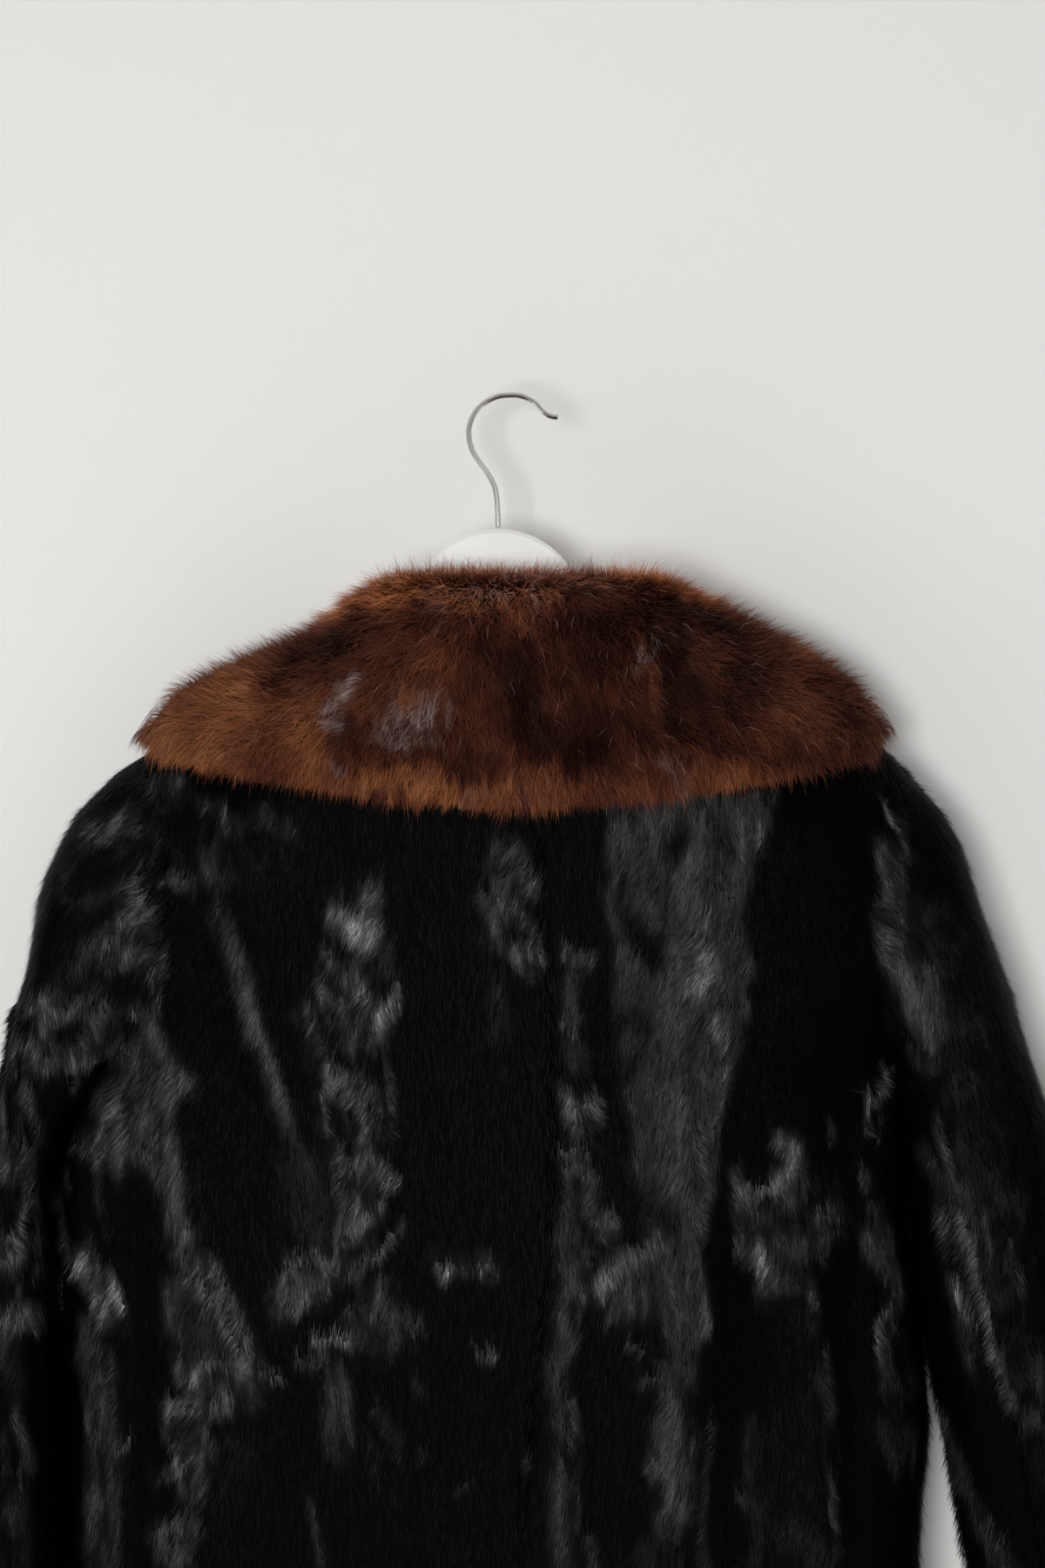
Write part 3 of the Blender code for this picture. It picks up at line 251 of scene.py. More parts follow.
# Sheen on the black pile as it is seen from the back, painted into the hairs' colour and
# helped a little by their lift, in millimetres from the centre plane and below the hook;
# value 0 is the black of the flat pile and 1 its brightest painted sheen. First the broad
# patches of painted sheen, where a whole pelt's pile is turned to the light: how soft
# the patch's edge is, how much its figure shows, and its corners.
PATCHES = (
    # value, edge, figure, corners
    (0.40, 4.0, 0.25, (46, 236), (150, 232), (148, 254), (136, 282), (132, 312), (131, 372), (122, 402), (117, 440), (113, 484), (108, 506), (112, 536), (104, 562), (84, 560), (74, 520), (72, 486), (64, 450), (60, 404), (55, 352), (50, 300)),
    (0.30, 5.0, 0.35, (72, 556), (104, 560), (98, 586), (76, 590)),
    (0.40, 6.0, 0.50, (80, 592), (99, 594), (103, 640), (98, 668), (78, 664), (76, 632)),
    (0.24, 7.0, 0.60, (62, 668), (98, 666), (96, 712), (66, 712)),
    (0.26, 5.0, 0.80, (20, 318), (44, 322), (42, 400), (50, 408), (50, 436), (28, 440), (26, 400)),
    (0.34, 4.5, 0.70, (24, 446), (44, 446), (50, 482), (58, 500), (44, 510), (34, 536), (22, 548), (20, 500)),
    (0.32, 4.5, 0.70, (20, 546), (36, 546), (30, 584), (24, 606), (16, 604), (16, 570)),
    (0.30, 4.0, 0.80, (16, 608), (36, 604), (40, 626), (32, 664), (18, 664), (14, 634)),
    (0.32, 5.0, 0.80, (18, 682), (40, 676), (46, 706), (22, 712)),
    (0.42, 4.5, 0.45, (38, 538), (50, 522), (66, 506), (86, 500), (96, 514), (84, 530), (60, 536)),
    (0.42, 6.0, 0.75, (128, 462), (150, 468), (154, 440), (164, 444), (178, 462), (190, 474), (192, 504), (172, 506), (152, 534), (132, 524), (126, 494)),
    (0.20, 8.0, 0.60, (150, 536), (182, 534), (186, 556), (170, 562)),
    (0.13, 12.0, 0.70, (124, 590), (190, 580), (192, 700), (126, 706)),
    (0.24, 6.0, 0.80, (160, 672), (188, 664), (196, 712), (158, 712)),
    (0.38, 5.0, 0.50, (204, 476), (212, 472), (226, 508), (232, 544), (220, 548), (208, 512)),
    (0.34, 5.0, 0.70, (212, 556), (222, 546), (234, 562), (236, 600), (222, 606), (210, 590)),
    (0.28, 6.0, 0.50, (216, 610), (240, 602), (238, 644), (222, 646)),
    (0.38, 3.0, 0.60, (222, 246), (228, 250), (226, 290), (226, 326), (236, 344), (216, 348), (213, 300)),
    (0.35, 5.0, 0.65, (218, 344), (238, 338), (252, 352), (250, 378), (240, 402), (232, 386)),
    (0.19, 12.0, 0.75, (232, 300), (262, 300), (290, 420), (306, 560), (282, 586), (258, 500), (240, 420)),
    (0.34, 9.0, 0.80, (238, 452), (262, 460), (292, 500), (296, 530), (270, 520), (250, 492)),
    (0.42, 4.5, 0.60, (250, 604), (262, 630), (268, 652), (298, 694), (288, 704), (262, 676)),
    (0.30, 7.0, 0.85, (282, 560), (312, 560), (316, 640), (296, 640)),
    (0.26, 9.0, 0.80, (-270, 262), (-232, 236), (-202, 238), (-196, 262), (-222, 296), (-236, 300), (-262, 306), (-280, 296)),
    (0.22, 8.0, 0.80, (-210, 262), (-168, 256), (-162, 290), (-196, 300)),
    (0.13, 10.0, 0.80, (-176, 240), (-120, 238), (-112, 268), (-128, 300), (-160, 286)),
    (0.40, 5.0, 0.80, (-240, 292), (-228, 288), (-212, 320), (-208, 362), (-222, 366), (-228, 330)),
    (0.34, 6.0, 0.85, (-290, 348), (-268, 330), (-240, 312), (-234, 330), (-244, 360), (-240, 404), (-262, 412), (-288, 398)),
    (0.42, 7.0, 0.45, (-240, 376), (-214, 382), (-198, 408), (-194, 470), (-196, 500), (-206, 504), (-212, 470), (-220, 452), (-246, 458), (-256, 444), (-250, 410)),
    (0.16, 8.0, 0.60, (-204, 420), (-186, 424), (-184, 500), (-198, 506)),
    (0.34, 3.5, 0.60, (-252, 452), (-240, 452), (-234, 500), (-240, 504)),
    (0.40, 4.5, 0.45, (-262, 540), (-250, 534), (-244, 560), (-241, 620), (-238, 712), (-256, 712), (-258, 620)),
    (0.38, 4.0, 0.55, (-206, 512), (-190, 512), (-170, 540), (-158, 572), (-148, 592), (-182, 590), (-200, 580), (-210, 540)),
    (0.44, 5.0, 0.85, (-212, 582), (-196, 586), (-176, 602), (-172, 622), (-200, 624), (-210, 612)),
    (0.40, 5.0, 0.85, (-206, 628), (-190, 632), (-186, 712), (-208, 712), (-214, 676), (-204, 656)),
    (0.15, 8.0, 0.70, (-186, 622), (-150, 620), (-152, 652), (-180, 650)),
    (0.38, 5.0, 0.30, (-184, 302), (-176, 298), (-161, 340), (-150, 375), (-139, 410), (-124, 440), (-132, 446), (-144, 424), (-158, 385), (-171, 345)),
    (0.25, 6.0, 0.30, (-138, 444), (-112, 444), (-110, 512), (-128, 510), (-136, 480)),
    (0.46, 4.0, 0.75, (-110, 442), (-82, 440), (-72, 458), (-80, 482), (-98, 500), (-108, 506)),
    (0.34, 7.0, 0.90, (-112, 296), (-88, 276), (-74, 300), (-70, 372), (-82, 396), (-104, 384), (-118, 360), (-104, 334)),
    (0.26, 4.0, 0.90, (-134, 366), (-116, 366), (-112, 394), (-124, 396)),
    (0.26, 5.0, 0.80, (-116, 402), (-100, 398), (-76, 424), (-74, 444), (-100, 440), (-114, 432)),
    (0.20, 4.0, 0.60, (-80, 396), (-70, 396), (-70, 446), (-78, 446)),
    (0.42, 3.0, 0.35, (-148, 522), (-136, 510), (-112, 504), (-108, 514), (-122, 528), (-142, 540)),
    (0.38, 4.0, 0.55, (-106, 532), (-84, 524), (-72, 530), (-56, 560), (-76, 560), (-102, 548)),
    (0.32, 4.5, 0.70, (-126, 556), (-100, 558), (-97, 624), (-112, 622), (-112, 580)),
    (0.20, 5.0, 0.80, (-92, 600), (-76, 610), (-72, 636), (-84, 632)),
    (0.40, 5.0, 0.70, (-16, 276), (0, 266), (9, 284), (6, 306), (8, 330), (14, 346), (-4, 342), (-22, 318)),
    (0.20, 6.0, 0.60, (-20, 338), (-10, 338), (-8, 380), (-18, 380)),
    (0.30, 5.0, 0.85, (-322, 372), (-296, 380), (-288, 420), (-290, 500), (-322, 500)),
    (0.34, 5.0, 0.85, (-322, 504), (-288, 504), (-282, 548), (-288, 600), (-322, 600)),
    (0.26, 7.0, 0.80, (-322, 606), (-290, 610), (-284, 712), (-322, 712)),
)
# Then strokes of painted sheen where the hairs stand up or turn, and dark strokes that take the painted sheen out
# where they lie dark.
STROKES = (
    # kind, x1, down1, x2, down2, half_width, value
    ("tuft", -232, 226, -204, 236, 8.0, 0.42),
    ("tuft", -200, 240, -166, 246, 7.0, 0.38),
    ("tuft", -166, 248, -136, 254, 6.0, 0.32),
    ("tuft", -150, 250, -130, 266, 5.0, 0.30),
    ("tuft", -262, 250, -236, 262, 5.5, 0.46),
    ("tuft", -237, 251, -225, 257, 5.6, 0.70),
    ("tuft", -221, 233, -213, 239, 4.0, 0.40),
    ("soft", -182, 274, -172, 285, 6.5, 0.30),
    ("tuft", -203, 288, -195, 291, 4.0, 0.72),
    ("soft", -173, 296, -167, 314, 4.5, 0.28),
    ("soft", -169, 318, -158, 352, 4.8, 0.46),
    ("soft", -158, 352, -146, 391, 5.8, 0.52),
    ("soft", -146, 391, -131, 432, 4.8, 0.52),
    ("tuft", -91, 295, -83, 324, 6.5, 0.60),
    ("tuft", -106, 330, -93, 349, 6.0, 0.58),
    ("tuft", -113, 345, -104, 357, 5.0, 0.60),
    ("tuft", -119, 363, -111, 378, 4.5, 0.50),
    ("tuft", -81, 370, -70, 356, 5.0, 0.88),
    ("tuft", -93, 342, -88, 353, 3.0, 0.60),
    ("line", -109, 410, -107, 392, 3.0, 0.60),
    ("line", -107, 392, -96, 401, 2.5, 0.50),
    ("line", -96, 401, -81, 414, 3.0, 0.52),
    ("tuft", -74, 381, -73, 430, 3.0, 0.34),
    ("line", -103, 431, -104, 507, 1.7, 0.50),
    ("tuft", -91, 435, -82, 455, 5.5, 0.62),
    ("tuft", -94, 462, -87, 481, 5.0, 0.74),
    ("tuft", -76, 447, -71, 461, 3.5, 0.60),
    ("line", -72, 488, -79, 501, 3.0, 0.60),
    ("line", -79, 501, -98, 508, 3.0, 0.52),
    ("soft", -123, 446, -114, 491, 11.0, 0.22),
    ("line", -140, 518, -135, 508, 2.7, 0.60),
    ("line", -135, 508, -122, 503, 2.7, 0.60),
    ("line", -122, 503, -108, 507, 2.7, 0.60),
    ("line", -108, 507, -109, 518, 2.7, 0.50),
    ("line", -109, 518, -122, 527, 2.7, 0.50),
    ("line", -122, 527, -135, 529, 2.7, 0.66),
    ("line", -135, 529, -140, 518, 2.7, 0.55),
    ("soft", -130, 517, -117, 514, 10.0, 0.26),
    ("tuft", -259, 341, -249, 329, 4.0, 0.60),
    ("tuft", -243, 326, -230, 311, 4.0, 0.52),
    ("tuft", -239, 342, -228, 329, 4.0, 0.50),
    ("tuft", -276, 362, -261, 354, 4.0, 0.62),
    ("tuft", -224, 289, -215, 313, 5.1, 0.52),
    ("tuft", -218, 308, -208, 326, 4.0, 0.42),
    ("tuft", -214, 325, -206, 342, 4.0, 0.36),
    ("tuft", -225, 366, -212, 362, 3.0, 0.62),
    ("tuft", -259, 395, -242, 367, 7.1, 0.40),
    ("soft", -218, 376, -195, 406, 9.0, 0.44),
    ("soft", -205, 399, -200, 446, 6.0, 0.46),
    ("soft", -200, 446, -196, 496, 5.0, 0.50),
    ("tuft", -240, 407, -233, 443, 5.1, 0.55),
    ("tuft", -245, 436, -240, 452, 3.5, 0.52),
    ("line", -235, 450, -230, 488, 2.5, 0.44),
    ("line", -220, 447, -208, 442, 2.5, 0.60),
    ("tuft", -259, 481, -253, 500, 3.5, 0.60),
    ("tuft", -259, 500, -249, 516, 4.0, 0.38),
    ("tuft", -296, 369, -292, 397, 3.5, 0.46),
    ("line", -293, 382, -279, 390, 3.0, 0.50),
    ("line", -287, 409, -279, 430, 3.0, 0.50),
    ("line", -282, 440, -279, 500, 1.8, 0.36),
    ("line", -300, 363, -300, 434, 2.5, 0.50),
    ("tuft", -302, 501, -281, 502, 4.6, 0.60),
    ("tuft", -289, 512, -278, 526, 4.0, 0.30),
    ("tuft", -302, 547, -282, 545, 5.1, 0.42),
    ("tuft", -300, 556, -290, 585, 5.6, 0.40),
    ("soft", -292, 595, -288, 629, 4.6, 0.36),
    ("tuft", -302, 634, -289, 636, 3.5, 0.46),
    ("soft", -292, 647, -287, 687, 9.1, 0.20),
    ("tuft", -259, 486, -251, 506, 3.5, 0.60),
    ("soft", -251, 512, -242, 540, 6.1, 0.36),
    ("tuft", -240, 520, -231, 534, 3.5, 0.80),
    ("soft", -249, 543, -240, 614, 6.6, 0.30),
    ("line", -238, 561, -236, 611, 2.0, 0.36),
    ("line", -236, 611, -226, 608, 2.0, 0.60),
    ("soft", -238, 619, -235, 687, 5.6, 0.30),
    ("tuft", -204, 504, -191, 509, 4.5, 0.36),
    ("tuft", -195, 518, -192, 530, 4.0, 0.42),
    ("line", -181, 507, -171, 525, 3.0, 0.60),
    ("line", -171, 525, -161, 536, 3.0, 0.62),
    ("line", -161, 536, -156, 550, 3.0, 0.56),
    ("line", -156, 550, -158, 561, 3.0, 0.50),
    ("soft", -180, 526, -165, 557, 9.0, 0.26),
    ("tuft", -197, 564, -194, 576, 3.0, 0.44),
    ("tuft", -187, 573, -183, 596, 4.5, 0.80),
    ("line", -185, 570, -175, 566, 2.2, 0.60),
    ("line", -175, 566, -163, 568, 2.2, 0.56),
    ("line", -163, 568, -148, 572, 2.5, 0.50),
    ("line", -148, 572, -140, 570, 2.5, 0.50),
    ("tuft", -179, 592, -168, 591, 4.0, 0.60),
    ("tuft", -195, 583, -191, 598, 3.5, 0.48),
    ("tuft", -190, 608, -186, 642, 4.0, 0.46),
    ("line", -204, 617, -194, 616, 3.0, 0.46),
    ("line", -206, 648, -203, 658, 2.5, 0.46),
    ("line", -203, 658, -187, 669, 2.5, 0.42),
    ("soft", -200, 645, -187, 663, 7.0, 0.30),
    ("tuft", -200, 676, -188, 681, 6.0, 0.30),
    ("soft", -77, 519, -86, 531, 7.5, 0.38),
    ("soft", -78, 529, -56, 544, 4.5, 0.40),
    ("soft", -80, 521, -75, 536, 9.0, 0.34),
    ("tuft", -117, 548, -97, 550, 4.0, 0.66),
    ("soft", -100, 567, -96, 606, 4.5, 0.34),
    ("tuft", -109, 591, -101, 598, 3.5, 0.28),
    ("tuft", -28, 558, -17, 564, 3.0, 0.68),
    ("tuft", -60, 578, -55, 584, 3.5, 0.40),
    ("tuft", -81, 597, -73, 612, 4.0, 0.36),
    ("tuft", -58, 616, -55, 618, 3.0, 0.30),
    ("line", -37, 638, -27, 636, 1.5, 0.30),
    ("tuft", -44, 509, -15, 506, 4.0, 0.58),
    ("tuft", -44, 505, -38, 512, 4.0, 0.50),
    ("line", 2, 615, 3, 624, 1.5, 0.34),
    ("soft", -120, 648, -111, 681, 3.5, 0.28),
    ("soft", -167, 612, -154, 617, 6.0, 0.14),
    ("tuft", -11, 275, 5, 293, 7.5, 0.55),
    ("line", 2, 274, 7, 291, 2.5, 0.50),
    ("line", -20, 300, -14, 317, 3.0, 0.50),
    ("line", -14, 317, -6, 309, 3.0, 0.48),
    ("line", -6, 309, 7, 320, 4.0, 0.52),
    ("tuft", -4, 333, 9, 329, 4.5, 0.62),
    ("soft", -14, 343, -13, 360, 3.0, 0.28),
    ("tuft", 27, 322, 37, 330, 4.0, 0.56),
    ("soft", 28, 341, 32, 358, 4.5, 0.30),
    ("tuft", 27, 364, 35, 368, 3.0, 0.40),
    ("tuft", 38, 376, 40, 390, 3.5, 0.36),
    ("line", 24, 404, 32, 415, 3.0, 0.60),
    ("line", 32, 415, 46, 406, 3.0, 0.62),
    ("line", 46, 406, 47, 419, 3.5, 0.60),
    ("line", 29, 416, 40, 427, 3.0, 0.46),
    ("line", 25, 441, 41, 441, 2.5, 0.50),
    ("line", 27, 452, 43, 455, 3.0, 0.52),
    ("line", 26, 455, 27, 469, 3.0, 0.44),
    ("line", 28, 471, 39, 475, 3.0, 0.56),
    ("line", 39, 461, 42, 481, 3.0, 0.44),
    ("line", 42, 479, 55, 491, 3.0, 0.56),
    ("line", 52, 481, 48, 493, 3.0, 0.46),
    ("soft", 27, 474, 29, 516, 5.0, 0.34),
    ("tuft", 22, 524, 44, 523, 4.0, 0.44),
    ("line", 44, 521, 63, 509, 4.5, 0.66),
    ("line", 63, 509, 79, 501, 4.0, 0.60),
    ("soft", 22, 531, 26, 546, 4.5, 0.36),
    ("soft", 28, 551, 22, 581, 5.0, 0.34),
    ("soft", 21, 561, 23, 621, 5.0, 0.30),
    ("line", 22, 591, 31, 592, 2.0, 0.40),
    ("line", 31, 592, 31, 606, 2.0, 0.42),
    ("line", 31, 606, 19, 622, 2.0, 0.44),
    ("soft", 20, 626, 23, 681, 7.5, 0.32),
    ("soft", 38, 661, 41, 681, 4.5, 0.30),
    ("soft", 60, 255, 72, 286, 8.0, 0.38),
    ("soft", 77, 252, 102, 262, 13.0, 0.42),
    ("soft", 97, 277, 102, 311, 18.0, 0.42),
    ("soft", 117, 249, 136, 247, 8.0, 0.42),
    ("soft", 67, 282, 82, 321, 11.0, 0.36),
    ("soft", 127, 257, 125, 286, 9.0, 0.44),
    ("soft", 82, 321, 92, 371, 18.0, 0.40),
    ("soft", 63, 336, 65, 361, 7.0, 0.34),
    ("soft", 87, 366, 89, 411, 17.0, 0.40),
    ("soft", 89, 411, 90, 456, 17.0, 0.38),
    ("soft", 91, 456, 93, 496, 14.0, 0.36),
    ("soft", 95, 491, 97, 531, 11.0, 0.34),
    ("soft", 73, 451, 76, 466, 6.0, 0.28),
    ("tuft", 137, 254, 140, 261, 3.5, 0.60),
    ("tuft", 105, 306, 112, 309, 4.0, 0.70),
    ("tuft", 123, 296, 127, 303, 3.0, 0.56),
    ("tuft", 105, 321, 113, 346, 10.0, 0.58),
    ("tuft", 127, 321, 133, 340, 4.5, 0.44),
    ("tuft", 102, 349, 119, 366, 7.0, 0.72),
    ("tuft", 109, 369, 118, 386, 4.5, 0.62),
    ("line", 116, 401, 113, 426, 2.5, 0.56),
    ("line", 108, 441, 106, 491, 3.0, 0.50),
    ("line", 105, 431, 108, 451, 2.5, 0.44),
    ("tuft", 92, 506, 105, 516, 7.0, 0.34),
    ("tuft", 106, 531, 109, 545, 3.0, 0.60),
    ("tuft", 64, 551, 68, 553, 2.5, 0.50),
    ("soft", 67, 575, 81, 571, 4.5, 0.34),
    ("soft", 83, 581, 88, 611, 7.5, 0.42),
    ("tuft", 80, 586, 84, 594, 3.5, 0.64),
    ("soft", 78, 601, 84, 641, 7.0, 0.42),
    ("tuft", 73, 621, 77, 630, 3.0, 0.60),
    ("soft", 87, 621, 94, 631, 4.5, 0.34),
    ("soft", 69, 666, 77, 676, 6.0, 0.22),
    ("tuft", 127, 456, 131, 491, 5.0, 0.46),
    ("line", 128, 472, 150, 464, 3.5, 0.72),
    ("line", 150, 464, 162, 454, 4.0, 0.68),
    ("tuft", 135, 497, 142, 512, 7.0, 0.86),
    ("tuft", 128, 496, 135, 507, 6.0, 0.60),
    ("tuft", 151, 441, 163, 453, 5.0, 0.50),
    ("tuft", 155, 481, 177, 477, 6.5, 0.60),
    ("tuft", 167, 491, 180, 501, 4.5, 0.56),
    ("soft", 142, 481, 152, 501, 8.0, 0.30),
    ("line", 181, 430, 184, 443, 2.0, 0.36),
    ("tuft", 170, 524, 175, 532, 3.5, 0.36),
    ("soft", 172, 574, 182, 597, 5.0, 0.28),
    ("tuft", 179, 631, 183, 662, 3.0, 0.46),
    ("soft", 128, 639, 134, 648, 4.5, 0.34),
    ("soft", 159, 661, 177, 681, 12.0, 0.22),
    ("soft", 137, 611, 142, 631, 7.0, 0.14),
    ("line", 202, 419, 203, 412, 2.0, 0.80),
    ("line", 205, 415, 212, 408, 2.0, 0.86),
    ("line", 212, 408, 217, 398, 2.0, 0.80),
    ("line", 202, 426, 201, 436, 2.0, 0.40),
    ("tuft", 201, 461, 203, 469, 2.5, 0.56),
    ("soft", 205, 479, 215, 493, 4.6, 0.34),
    ("soft", 206, 500, 222, 525, 7.6, 0.40),
    ("soft", 219, 520, 225, 538, 3.5, 0.40),
    ("line", 209, 566, 211, 550, 2.5, 0.62),
    ("line", 211, 550, 217, 544, 2.5, 0.66),
    ("line", 217, 544, 223, 553, 2.5, 0.44),
    ("soft", 214, 566, 222, 586, 6.1, 0.34),
    ("soft", 211, 606, 225, 631, 7.6, 0.28),
    ("tuft", 217, 249, 219, 258, 2.5, 0.62),
    ("soft", 211, 267, 214, 302, 5.1, 0.48),
    ("tuft", 210, 302, 215, 338, 5.6, 0.44),
    ("soft", 222, 343, 234, 368, 8.1, 0.48),
    ("soft", 230, 358, 238, 381, 6.1, 0.42),
    ("soft", 230, 383, 237, 395, 6.1, 0.26),
    ("soft", 233, 444, 248, 474, 6.1, 0.30),
    ("tuft", 239, 464, 251, 505, 5.6, 0.38),
    ("soft", 250, 520, 260, 545, 3.5, 0.52),
    ("soft", 257, 525, 261, 566, 6.1, 0.30),
    ("soft", 244, 606, 253, 652, 5.6, 0.46),
    ("soft", 260, 313, 285, 434, 13.2, 0.10),
    ("line", -264, 460, -270, 480, 2.6, 0.46),
    ("line", -270, 480, -269, 500, 2.6, 0.50),
    ("line", -269, 500, -262, 514, 2.8, 0.46),
    ("line", -256, 440, -240, 454, 3.0, 0.50),
    ("line", -240, 454, -220, 448, 3.0, 0.48),
    ("tuft", -258, 520, -246, 540, 4.5, 0.84),
    ("line", -190, 512, -168, 544, 2.8, 0.66),
    ("line", -168, 544, -160, 574, 2.8, 0.60),
    ("tuft", -206, 586, -192, 598, 5.0, 0.66),
    ("tuft", -212, 636, -196, 632, 4.0, 0.60),
    ("tuft", -212, 668, -200, 664, 4.0, 0.52),
    ("tuft", -106, 310, -88, 322, 7.0, 0.70),
    ("tuft", -106, 352, -92, 338, 5.0, 0.68),
    ("line", -111, 430, -112, 410, 2.6, 0.56),
    ("line", -112, 410, -104, 399, 2.6, 0.60),
    ("line", -104, 399, -88, 426, 2.6, 0.52),
    ("line", -108, 443, -84, 444, 2.6, 0.56),
    ("line", -82, 446, -74, 462, 3.0, 0.62),
    ("line", -84, 474, -102, 494, 3.0, 0.56),
    ("tuft", -128, 564, -106, 566, 3.6, 0.62),
    ("tuft", -290, 362, -268, 352, 4.5, 0.62),
    ("tuft", -280, 378, -252, 366, 4.5, 0.56),
    ("tuft", -284, 394, -246, 394, 4.0, 0.54),
    ("line", -288, 440, -285, 480, 2.6, 0.52),
    ("line", -285, 480, -290, 504, 2.6, 0.56),
    ("tuft", -314, 506, -290, 510, 4.5, 0.80),
    ("tuft", -312, 545, -286, 548, 4.5, 0.62),
    ("tuft", -308, 420, -300, 460, 5.0, 0.50),
    ("line", 244, 424, 254, 474, 3.0, 0.48),
    ("line", 254, 474, 266, 522, 3.4, 0.56),
    ("line", 266, 522, 276, 562, 3.4, 0.66),
    ("line", 276, 562, 286, 592, 3.0, 0.46),
    ("line", 216, 398, 211, 412, 2.2, 0.60),
    ("line", 211, 412, 208, 442, 2.2, 0.40),
    ("line", 108, 592, 106, 700, 2.0, 0.30),
    ("soft", 134, 596, 136, 700, 5.0, 0.20),
    ("line", 180, 566, 178, 604, 2.6, 0.34),
    ("dark", 136, 492, 176, 474, 4.2, 0.80),
    ("dark", 170, 510, 194, 516, 5.0, 0.60),
    ("dark", 64, 308, 78, 322, 7.0, 0.80),
    ("dark", 74, 322, 80, 334, 5.0, 0.70),
    ("dark", 96, 262, 92, 274, 5.0, 0.65),
    ("dark", 86, 264, 90, 268, 4.5, 0.50),
    ("dark", 114, 266, 122, 270, 4.5, 0.45),
    ("dark", 60, 286, 58, 300, 4.0, 0.60),
    ("dark", 62, 362, 72, 372, 6.0, 0.55),
    ("dark", 66, 388, 64, 398, 5.0, 0.60),
    ("dark", 68, 460, 84, 486, 7.5, 0.60),
    ("dark", 110, 500, 120, 520, 6.0, 0.70),
    ("dark", -98, 452, -90, 456, 4.5, 0.60),
    ("dark", -96, 470, -88, 474, 4.0, 0.45),
    ("dark", -106, 416, -100, 430, 3.6, 0.75),
    ("dark", -98, 352, -110, 336, 4.0, 0.60),
    ("dark", -90, 284, -84, 290, 5.0, 0.40),
    ("dark", -82, 346, -78, 352, 4.5, 0.55),
    ("dark", -232, 472, -224, 500, 8.0, 0.95),
    ("dark", -256, 470, -258, 500, 6.5, 0.95),
    ("dark", -240, 278, -246, 290, 7.0, 0.75),
    ("dark", -262, 356, -254, 352, 4.0, 0.60),
    ("dark", -236, 346, -222, 352, 6.0, 0.60),
    ("dark", -186, 600, -180, 592, 4.0, 0.50),
    ("dark", -202, 652, -208, 646, 5.0, 0.90),
    ("dark", -206, 690, -212, 700, 5.0, 0.80),
    ("dark", -302, 470, -298, 490, 5.0, 0.70),
    ("dark", -304, 524, -300, 534, 6.0, 0.70),
    ("dark", -306, 572, -304, 596, 5.0, 0.60),
    ("dark", 30, 470, 34, 474, 3.0, 0.80),
    ("dark", 40, 490, 44, 498, 2.6, 0.60),
    ("dark", 24, 614, 30, 628, 4.0, 0.70),
    ("dark", 36, 340, 42, 352, 4.0, 0.60),
    ("dark", 224, 566, 226, 582, 3.6, 0.70),
    ("dark", 28, 400, 36, 404, 3.0, 0.70),
    ("dark", -8, 322, 6, 326, 3.0, 0.80),
    ("dark", -4, 284, 2, 290, 3.6, 0.45),
)
